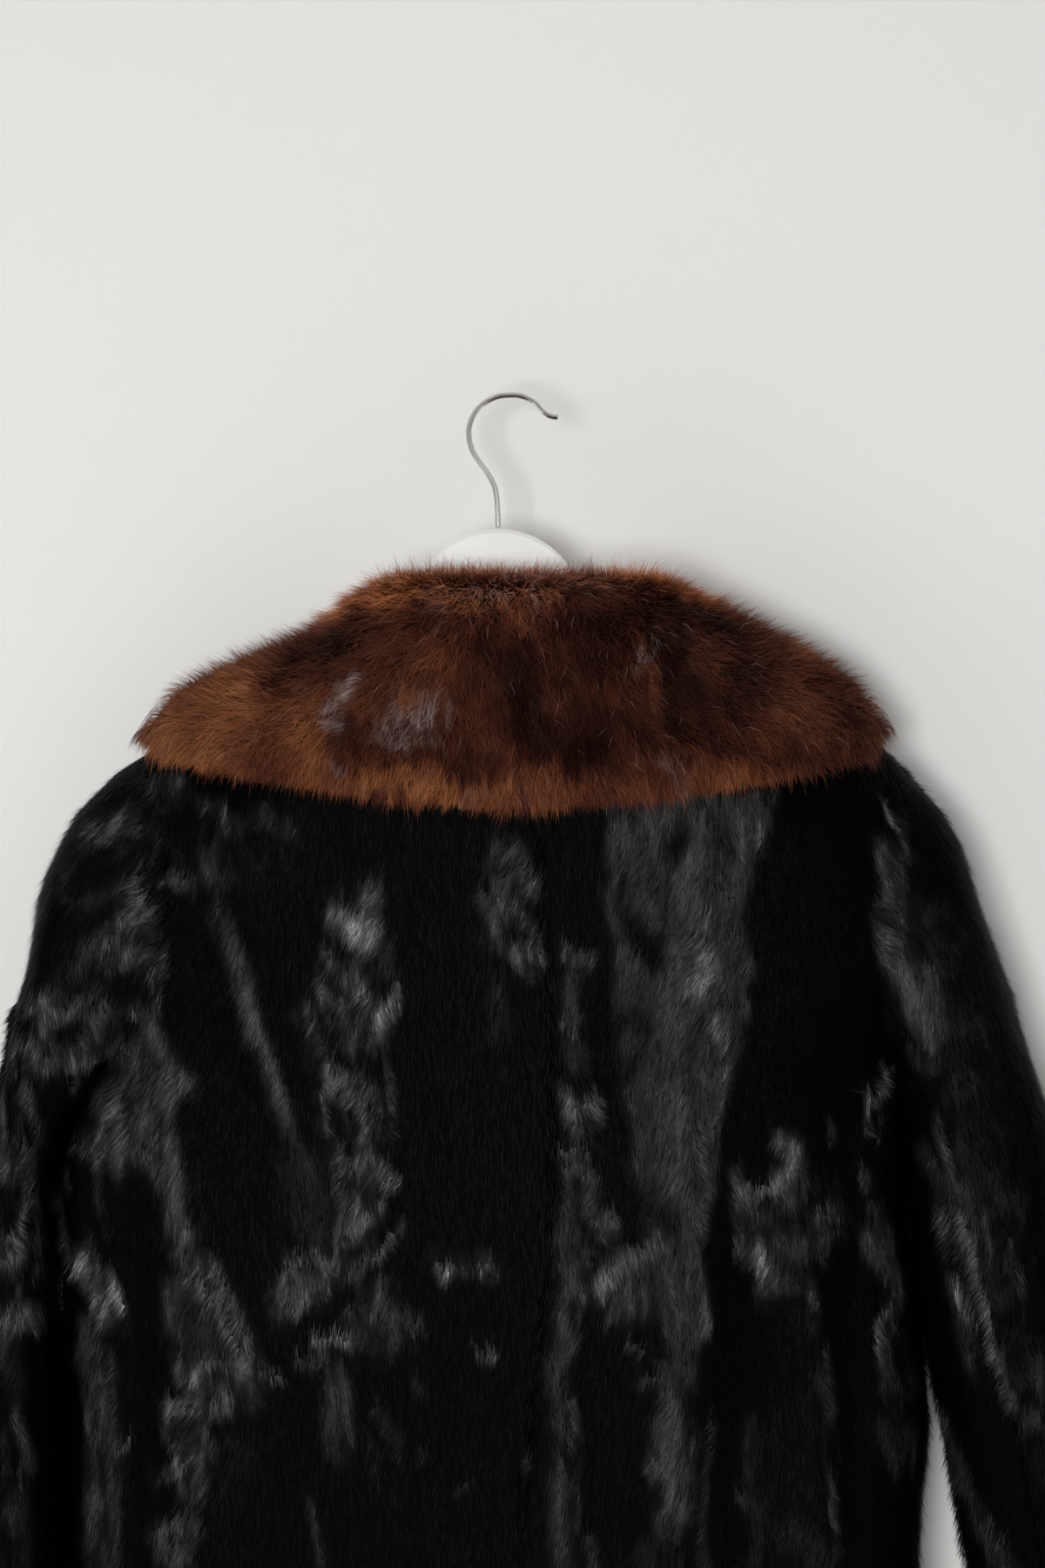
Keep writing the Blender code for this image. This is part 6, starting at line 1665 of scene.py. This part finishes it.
# ---------------------------------------------------------------- the mink
def mink(side, skin, way, thick, chart, rng):
    """Ground hair and guard hairs of one half of the collar, in one mesh each."""
    base = skin + way * (thick * MINK_SKIN)[..., None]
    flow = np.gradient(skin, axis=1)
    flow = unit(flow - way * (flow * way).sum(-1, keepdims=True))
    length = np.linalg.norm(np.diff(skin, axis=1), axis=-1)
    share = np.concatenate([np.zeros((len(skin), 1)), np.cumsum(length, axis=1)], axis=1)
    start = share[:, 5:6]
    share = (share - start) / (share[:, -1:] - start)
    # Fewer hairs on the stand's inside, which the neck hides.
    weight = np.ones((skin.shape[0] - 1, skin.shape[1] - 1))
    weight[:, :2] = 0.55
    made = []
    for kind, count, long, width in (
        ("ground", GROUND_HAIRS, GROUND_LONG, GROUND_WIDE),
        ("guard", GUARD_HAIRS, GUARD_LONG, GUARD_WIDE),
    ):
        i, j, u, v = scatter(base, count, rng, weight)
        root = between(base, i, j, u, v)
        out = unit(between(way, i, j, u, v))
        run = unit(between(flow, i, j, u, v))
        out_share = between(share[..., None], i, j, u, v)[:, 0]
        reach = between(thick[..., None], i, j, u, v)[:, 0] / PILE
        n = len(root)
        facing = -out[:, 1]
        swirl = 0.55 * rough(root, 26, 201) + 0.40 * noise(root, 85, 203) + rng.normal(0, 0.40, n)
        run = turned(run, out, swirl)
        across = np.cross(run, out)
        lean = 58 if kind == "ground" else 54
        lift = lean + 14 * noise(root, 42, 207) + 9 * noise(root, 130, 209) + rng.normal(0, 9, n)
        lift = lift - 16 * ease((out_share - 0.80) / 0.2) * np.clip(facing, 0, 1)
        upright = 26 if kind == "guard" else 6
        outline = (1 - ease((facing - 0.15) / 0.5)) * ease((facing + 0.7) / 0.5)
        lift = lift + upright * outline * ease((out_share - 0.02) / 0.1)
        lift = np.radians(np.clip(lift * (0.55 + 0.45 * np.clip(reach, 0, 1)), 8, 80))
        size = long * np.exp(np.clip(rng.normal(0, 0.12, n), -0.24, 0.24)) * (0.74 + 0.26 * np.clip(reach, 0, 1))
        edge = ease((out_share - 0.82) / 0.18) * np.clip(facing, 0, 1)
        size = size * (1 + 0.26 * edge * noise(root, 46, 215))
        # The hairs gather into locks.
        lock = np.stack([noise(root, 130, k) for k in (211, 213)], axis=-1)
        gather = across * (lock[:, :1] * (0.0022 + 0.0016 * edge[:, None])) + run * (lock[:, 1:] * 0.0016)
        first = run * np.cos(lift + 0.20)[:, None] + out * np.sin(lift + 0.20)[:, None]
        then = run * np.cos(lift - 0.32)[:, None] + out * np.sin(lift - 0.32)[:, None]
        then[:, 2] -= 0.12 + 0.75 * ease((out_share - 0.70) / 0.30)
        # At the tips they hang down over the sleeves.
        hang = ease((out_share - 0.72) / 0.28) * ease((np.abs(root[:, 0]) - 0.185) / 0.03)
        first[:, 2] -= 1.1 * hang
        then[:, 2] -= 1.6 * hang
        first = unit(first)
        middle = root + first * (size * 0.5)[:, None] + gather * 0.4
        tip = middle + unit(then) * (size * 0.5)[:, None] + gather * 0.6
        roll = rng.normal(0, math.radians(38), n)
        wide = turned(across, unit(tip - root), roll) * (width / 2 * (0.8 + 0.4 * rng.random(n)))[:, None]
        tone, pale = mink_tone(root + (tip - root) * 0.7, facing, out_share, chart)
        tone = tone + rng.normal(0, 0.05, n)
        # Each hair's own random lightness, a gain over all, and painted light along the roll line, where the hairs
        # face up away from the lamps.
        light = np.exp(rng.normal(0, 0.11, n)) * (1.23 + 0.95 * np.exp(-((np.maximum(out_share - 0.02, 0) / 0.15) ** 2)))
        # Pale places (painted sheen, and partings that are partly painted light) are a mixture of pale hairs and
        # hairs of the common colour.
        pale = pale * np.where(rng.random(n) < 0.25 + 0.6 * pale, 1.15, 0.30)
        if kind == "guard":
            frost = rng.random(n) < 0.02
            pale = np.where(frost, np.maximum(pale, 0.35), pale)
            tone = tone + 0.05
        colour = np.minimum(mink_colour(tone, pale) * light[:, None], 0.8)
        root_colour = mink_colour(tone * 0.76, np.clip(pale * 1.1, 0, 1)) * (0.55 + 0.4 * pale)[:, None]
        if kind == "ground":
            points = np.stack([root - wide, root + wide, tip], axis=1)
            faces = [(0, 1, 2)]
            shade = [root_colour, root_colour, colour * 1.10]
        else:
            points = np.stack([root - wide, root + wide, middle - wide * 0.75, middle + wide * 0.75, tip], axis=1)
            faces = [(0, 1, 3), (0, 3, 2), (2, 3, 4)]
            mid_colour = root_colour * 0.35 + colour * 0.65
            shade = [root_colour, root_colour, mid_colour, mid_colour, colour * 1.15]
        toward = out * (0.45 + 0.55 * np.clip(facing, 0, 1))[:, None]
        toward[:, 1] -= 0.45 * (1 - ease((facing - 0.1) / 0.5)) * ease((facing + 0.6) / 0.4)
        normals = hair_normals(points, wide, unit(toward))
        colours = np.stack(shade, axis=1)
        made.append(hair_object(f"mink_{kind}_{side}", points, faces, colours, normals, MATERIALS["mink"]))
    return made


# ---------------------------------------------------------------- materials
MATERIALS = {}


def new_material(name, roughness, specular, metallic=0.0, colour=(0.5, 0.5, 0.5)):
    material = bpy.data.materials.new(name)
    material.use_nodes = True
    tree = material.node_tree
    shader = next(n for n in tree.nodes if n.type == "BSDF_PRINCIPLED")
    shader.inputs["Base Color"].default_value = (*colour, 1)
    shader.inputs["Roughness"].default_value = roughness
    shader.inputs["Specular IOR Level"].default_value = specular
    shader.inputs["Metallic"].default_value = metallic
    MATERIALS[name] = material
    return material, tree, shader


def textured(tree, kind, scale, stretch=(1, 1, 1), **settings):
    """A procedural texture laid out in the object's own coordinates."""
    place = tree.nodes.new("ShaderNodeTexCoord")
    mapping = tree.nodes.new("ShaderNodeMapping")
    mapping.inputs["Scale"].default_value = stretch
    tree.links.new(place.outputs["Object"], mapping.inputs["Vector"])
    made = tree.nodes.new(kind)
    tree.links.new(mapping.outputs["Vector"], made.inputs["Vector"])
    made.inputs["Scale"].default_value = scale
    for key, value in settings.items():
        made.inputs[key].default_value = value
    return made


def graded(tree, source, low, high, *stops):
    ramp = tree.nodes.new("ShaderNodeValToRGB")
    ramp.color_ramp.elements[0].color = (*low, 1)
    ramp.color_ramp.elements[1].color = (*high, 1)
    if stops:
        ramp.color_ramp.elements[0].position, ramp.color_ramp.elements[1].position = stops
    tree.links.new(source, ramp.inputs["Fac"])
    return ramp.outputs["Color"]


def times(tree, a, b):
    mix = tree.nodes.new("ShaderNodeMix")
    mix.data_type, mix.blend_type = "RGBA", "MULTIPLY"
    mix.inputs["Factor"].default_value = 1.0
    sockets = [s for s in mix.inputs if s.type == "RGBA"]
    tree.links.new(a, sockets[0])
    tree.links.new(b, sockets[1])
    return next(s for s in mix.outputs if s.type == "RGBA")


def bumped(tree, shader, source, strength, distance):
    bump = tree.nodes.new("ShaderNodeBump")
    bump.inputs["Strength"].default_value = strength
    bump.inputs["Distance"].default_value = distance
    tree.links.new(source, bump.inputs["Height"])
    tree.links.new(bump.outputs["Normal"], shader.inputs["Normal"])


def make_materials():
    # Hairs: their own colour from the mesh, mostly painted sheen on the black pile and with painted light along the
    # roll on the mink, with a fine change along them.
    for name, roughness, specular, scale in (("pile", 0.45, 0.035, 900), ("mink", 0.48, 0.08, 500)):
        _, tree, shader = new_material(name, roughness, specular)
        own = tree.nodes.new("ShaderNodeAttribute")
        own.attribute_name = "hair"
        grain = textured(tree, "ShaderNodeTexNoise", scale, (1, 1, 0.35), Detail=2.0)
        level = graded(tree, grain.outputs["Fac"], (0.78, 0.78, 0.78), (1.2, 1.2, 1.2), 0.3, 0.7)
        tree.links.new(times(tree, own.outputs["Color"], level), shader.inputs["Base Color"])
    # The skins under the hairs; the black skins carry a dimmed copy of the pile's painted sheen
    _, tree, shader = new_material("pile_skin", 0.65, 0.02)
    grain = textured(tree, "ShaderNodeTexNoise", 420, (1, 1, 0.12), Detail=4.0)
    own = tree.nodes.new("ShaderNodeAttribute")
    own.attribute_name = "hair"
    level = graded(tree, grain.outputs["Fac"], (0.6, 0.6, 0.6), (1.3, 1.3, 1.3), 0.35, 0.75)
    tree.links.new(times(tree, own.outputs["Color"], level), shader.inputs["Base Color"])
    bumped(tree, shader, grain.outputs["Fac"], 0.6, 0.001)
    _, tree, shader = new_material("mink_skin", 0.65, 0.06)
    grain = textured(tree, "ShaderNodeTexNoise", 300, (1, 1, 0.4), Detail=4.0)
    colour = graded(tree, grain.outputs["Fac"], (0.0040, 0.0014, 0.0009), (0.024, 0.0080, 0.0040), 0.35, 0.75)
    tree.links.new(colour, shader.inputs["Base Color"])
    bumped(tree, shader, grain.outputs["Fac"], 0.7, 0.001)
    # The inside: plain black satin
    _, tree, shader = new_material("inside", 0.38, 0.40)
    weave = textured(tree, "ShaderNodeTexWave", 900, (1, 1, 1), Distortion=0.6, Detail=1.0)
    cloud = textured(tree, "ShaderNodeTexNoise", 24, (1, 1, 0.4), Detail=3.0)
    low = graded(tree, cloud.outputs["Fac"], (0.010, 0.010, 0.011), (0.022, 0.022, 0.024), 0.3, 0.7)
    fine = graded(tree, weave.outputs["Fac"], (0.82, 0.82, 0.82), (1.1, 1.1, 1.1))
    tree.links.new(times(tree, low, fine), shader.inputs["Base Color"])
    bumped(tree, shader, weave.outputs["Fac"], 0.15, 0.0002)
    # The hanger
    _, tree, shader = new_material("hanger_white", 0.34, 0.45)
    cloud = textured(tree, "ShaderNodeTexNoise", 30, (1, 1, 1), Detail=3.0)
    colour = graded(tree, cloud.outputs["Fac"], (0.80, 0.79, 0.765), (0.85, 0.845, 0.825), 0.35, 0.65)
    tree.links.new(colour, shader.inputs["Base Color"])
    bumped(tree, shader, cloud.outputs["Fac"], 0.08, 0.002)
    # The wire
    _, tree, shader = new_material("wire_chrome", 0.16, 0.5, 1.0)
    streak = textured(tree, "ShaderNodeTexNoise", 260, (1, 1, 0.2), Detail=2.0)
    colour = graded(tree, streak.outputs["Fac"], (0.74, 0.74, 0.73), (0.86, 0.86, 0.85), 0.3, 0.7)
    tree.links.new(colour, shader.inputs["Base Color"])


# ---------------------------------------------------------------- the coat
def rippled(grids):
    """The grids with the slight unevenness of a worn hide."""
    made = {}
    for name, (points, way) in grids.items():
        much = 0.0008 * rough(points, (34, 34, 17), 301, 2)
        if name.startswith("sleeve"):
            much = much + 0.0016 * noise(points, (30, 30, 30), 305) + 0.0008 * noise(points, (75, 75, 60), 307)
        # Nothing moves at the panel's own seams, where it meets the others.
        rows, columns = points.shape[:2]
        i, j = np.meshgrid(np.arange(rows), np.arange(columns), indexing="ij")
        rim = np.minimum(np.minimum(i, rows - 1 - i), np.minimum(j, columns - 1 - j))
        much = much * ease(rim / 4.0)
        # The pile of sleeve and body meets where they hang side by side.
        toward = way[..., 0] * np.sign(points[..., 0]) * (-1 if name.startswith("sleeve") else 1)
        low = 0.80 if name.endswith("left") else 0.63
        down = -points[..., 2]
        meet = ease((toward - 0.35) / 0.4) * ease((down - 0.399) / 0.007) * ease((low - down) / 0.05)
        meet = meet * (0.0018 + 0.0036 * ease((0.470 - down) / 0.05))
        arm_x = 0.243 if name.endswith("left") else 0.217
        beside = np.exp(-(((np.abs(points[..., 0]) - arm_x) / 0.022) ** 2) - ((down - 0.400) / 0.013) ** 2)
        made[name] = (points + way * (much + meet + 0.0060 * beside)[..., None], way)
    return made


def apart(points, edges):
    """A grid drawn in from its seams by half the gap between pieces."""
    points = points.copy()
    along, across = unit(np.gradient(points, axis=0)), unit(np.gradient(points, axis=1))
    for edge in edges:
        if edge == "first_row":
            points[0] += along[0] * SEAM_GAP / 2
        elif edge == "last_row":
            points[-1] -= along[-1] * SEAM_GAP / 2
        elif edge == "first_column":
            points[:, 0] += across[:, 0] * SEAM_GAP / 2
        else:
            points[:, -1] -= across[:, -1] * SEAM_GAP / 2
    return points


def black_grids():
    """Outer points and outward directions of every black panel."""
    grids = {}
    for face in ("back", "front"):
        for side in ("left", "right"):
            grids[f"{face}_{side}"] = panel(face, side)
    for side in ("left", "right"):
        top, under = sleeve(side)
        grids[f"sleeve_top_{side}"], grids[f"sleeve_under_{side}"] = top, under
    return share_seams({name: underarm(name, points) for name, points in grids.items()})


def underarm(name, points):
    """Body and sleeve hang pressed together under the arm, so the groove between them is shallow."""
    x, y, down = np.abs(points[..., 0]), points[..., 1], -points[..., 2]
    side = "left" if name.endswith("left") else "right"
    middle = np.interp(down, (0.38, 0.43, 0.47), (0.243, 0.262, 0.271) if side == "left" else (0.217, 0.226, 0.230))
    much = UNDERARM_FILL[side] * np.exp(-(((x - middle) / 0.026) ** 2))
    much = much * ease((down - 0.345) / 0.05) * ease((0.540 - down) / 0.10)
    moved = points.copy()
    moved[..., 1] -= much * np.exp(-(((y + 0.030) / 0.024) ** 2))
    return moved


SEAMED = {
    "back": ("first_row", "last_column", "first_column"),
    "front": ("first_row", "last_column"),
    "sleeve": ("first_row", "first_column", "last_column"),
}


def make_coat(rng):
    grids = black_grids()
    collars = {side: collar(side, grids) for side in ("left", "right")}
    made = {}
    covers = []
    for side, (skin, way, thick, angles) in collars.items():
        inner = skin[:, :-4].reshape(-1, 3)
        rows, columns = skin.shape[0], skin.shape[1] - 4
        cell = np.arange(rows * columns).reshape(rows, columns)
        quads = np.stack([cell[:-1, :-1], cell[1:, :-1], cell[1:, 1:], cell[:-1, 1:]], -1).reshape(-1, 4)
        covers.append(BVHTree.FromPolygons([Vector(p) for p in inner], [tuple(map(int, q)) for q in quads]))
    grids = rippled(grids)
    skins = [MATERIALS["pile_skin"], MATERIALS["inside"]]
    chart = sheen_chart()
    for name, (points, way) in grids.items():
        outer = apart(points - way * SKIN_OUT, SEAMED[name.split("_")[0]])
        inner = apart(points - way * SKIN_IN, SEAMED[name.split("_")[0]])
        made[name] = shell(f"{name}_skin", outer, inner, skins)
        paint_skin_sheen(made[name], outer, way, chart)
    piles = {}
    for kind, count in (
        ("back", BACK_HAIRS),
        ("front", FRONT_HAIRS),
        ("sleeve_top", SLEEVE_HAIRS),
        ("sleeve_under", UNDER_HAIRS),
    ):
        for side in ("left", "right"):
            name = f"{kind}_{side}"
            piles[name] = black_pile(f"pile_{name}", grids[name], count, chart, covers, rng)
    colours = mink_chart()
    for side, (skin, way, thick, angles) in collars.items():
        outer = skin + way * (thick * MINK_SKIN)[..., None]
        made[f"collar_{side}"] = shell(
            f"collar_{side}_skin", outer, skin, [MATERIALS["mink_skin"], MATERIALS["inside"]]
        )
        piles[f"collar_{side}"] = mink(side, skin, way, thick, colours, rng)
    for name, obj in made.items():
        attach(obj, "root")
        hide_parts(name)
    for name, hairs in piles.items():
        for obj in hairs if isinstance(hairs, list) else [hairs]:
            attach(obj, "root")
    return made, piles


def hanger_looks():
    for name, material in (("hanger_body", "hanger_white"), ("hanger_hook", "wire_chrome")):
        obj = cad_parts[name]
        obj.data.materials.clear()
        obj.data.materials.append(MATERIALS[material])


# ---------------------------------------------------------------- room, light and camera
def slab(name, corners, material):
    mesh = bpy.data.meshes.new(name)
    mesh.from_pydata(corners, [], [tuple(range(len(corners)))])
    mesh.materials.append(material)
    obj = bpy.data.objects.new(name, mesh)
    bpy.context.scene.collection.objects.link(obj)
    return obj


def area_light(name, place, target, power, size, colour=(1, 1, 1)):
    data = bpy.data.lights.new(name, "AREA")
    data.energy, data.color = power, colour
    data.shape, data.size = "SQUARE", size
    obj = bpy.data.objects.new(name, data)
    bpy.context.scene.collection.objects.link(obj)
    obj.location = place
    obj.rotation_euler = (Vector(target) - Vector(place)).to_track_quat("-Z", "Y").to_euler()
    return obj


def make_room():
    _, tree, shader = new_material("wall_paint", 0.95, 0.1, colour=WALL_COLOUR)
    # The wall is seen and lit from its front only.
    output = next(n for n in tree.nodes if n.type == "OUTPUT_MATERIAL")
    clear = tree.nodes.new("ShaderNodeBsdfTransparent")
    mix = tree.nodes.new("ShaderNodeMixShader")
    geometry = tree.nodes.new("ShaderNodeNewGeometry")
    tree.links.new(geometry.outputs["Backfacing"], mix.inputs["Fac"])
    tree.links.new(shader.outputs["BSDF"], mix.inputs[1])
    tree.links.new(clear.outputs["BSDF"], mix.inputs[2])
    tree.links.new(mix.outputs["Shader"], output.inputs["Surface"])
    new_material("floor_paint", 0.9, 0.15, colour=(0.78, 0.775, 0.765))
    wall = slab("wall", [(-4, WALL_Y, 2.5), (-4, WALL_Y, FLOOR_Z), (4, WALL_Y, FLOOR_Z), (4, WALL_Y, 2.5)], MATERIALS["wall_paint"])
    wall.visible_shadow = False  # the lights behind it reach the coat's front
    slab("floor", [(-7, -7, FLOOR_Z), (7, -7, FLOOR_Z), (7, 7, FLOOR_Z), (-7, 7, FLOOR_Z)], MATERIALS["floor_paint"])
    world = bpy.data.worlds.new("studio")
    bpy.context.scene.world = world
    world.use_nodes = True
    tree = world.node_tree
    tree.nodes.clear()
    place = tree.nodes.new("ShaderNodeTexCoord")
    parts = tree.nodes.new("ShaderNodeSeparateXYZ")
    tree.links.new(place.outputs["Generated"], parts.inputs["Vector"])
    # Brighter above and to the sides, dim before and behind the coat.
    up = tree.nodes.new("ShaderNodeMapRange")
    up.inputs["From Min"].default_value, up.inputs["From Max"].default_value = -0.2, 0.9
    up.inputs["To Min"].default_value, up.inputs["To Max"].default_value = 0.30, 0.72
    tree.links.new(parts.outputs["Z"], up.inputs["Value"])
    behind = tree.nodes.new("ShaderNodeMapRange")
    behind.inputs["From Min"].default_value, behind.inputs["From Max"].default_value = -1.0, -0.35
    behind.inputs["To Min"].default_value, behind.inputs["To Max"].default_value = 0.06, 0.85
    tree.links.new(parts.outputs["Y"], behind.inputs["Value"])
    front = tree.nodes.new("ShaderNodeMapRange")
    front.inputs["From Min"].default_value, front.inputs["From Max"].default_value = 0.02, 0.30
    front.inputs["To Min"].default_value, front.inputs["To Max"].default_value = 1.0, 0.10
    tree.links.new(parts.outputs["Y"], front.inputs["Value"])
    strength = times(tree, times(tree, up.outputs["Result"], behind.outputs["Result"]), front.outputs["Result"])
    lit = tree.nodes.new("ShaderNodeBackground")
    lit.inputs["Color"].default_value = (1.0, 0.995, 0.985, 1)
    tree.links.new(strength, lit.inputs["Strength"])
    seen = tree.nodes.new("ShaderNodeBackground")
    seen.inputs["Color"].default_value = (0.80, 0.795, 0.78, 1)
    seen.inputs["Strength"].default_value = 1.0
    ray = tree.nodes.new("ShaderNodeLightPath")
    mix = tree.nodes.new("ShaderNodeMixShader")
    tree.links.new(ray.outputs["Is Camera Ray"], mix.inputs["Fac"])
    tree.links.new(lit.outputs["Background"], mix.inputs[1])
    tree.links.new(seen.outputs["Background"], mix.inputs[2])
    output = tree.nodes.new("ShaderNodeOutputWorld")
    tree.links.new(mix.outputs["Shader"], output.inputs["Surface"])
    middle = (CENTRE_X, 0.0, -0.40)
    for name, place, power, size in LIGHTS:
        area_light(name, place, middle, power, size)


def make_camera():
    data = bpy.data.cameras.new("camera")
    data.lens, data.sensor_width, data.sensor_fit = 66.0, 36.0, "AUTO"
    data.dof.use_dof = False
    data.clip_start, data.clip_end = 0.05, 50.0
    obj = bpy.data.objects.new("camera", data)
    bpy.context.scene.collection.objects.link(obj)
    obj.location = (0.0089, -1.725, -0.2316)
    obj.rotation_euler = (math.radians(90), 0, 0)
    bpy.context.scene.camera = obj


def main():
    rng = np.random.default_rng(SEED)
    make_materials()
    made, piles = make_coat(rng)
    hanger_looks()
    make_room()
    make_camera()
    bpy.context.scene.view_settings.view_transform = "Standard"
    bpy.context.scene.view_settings.look = "None"


main()
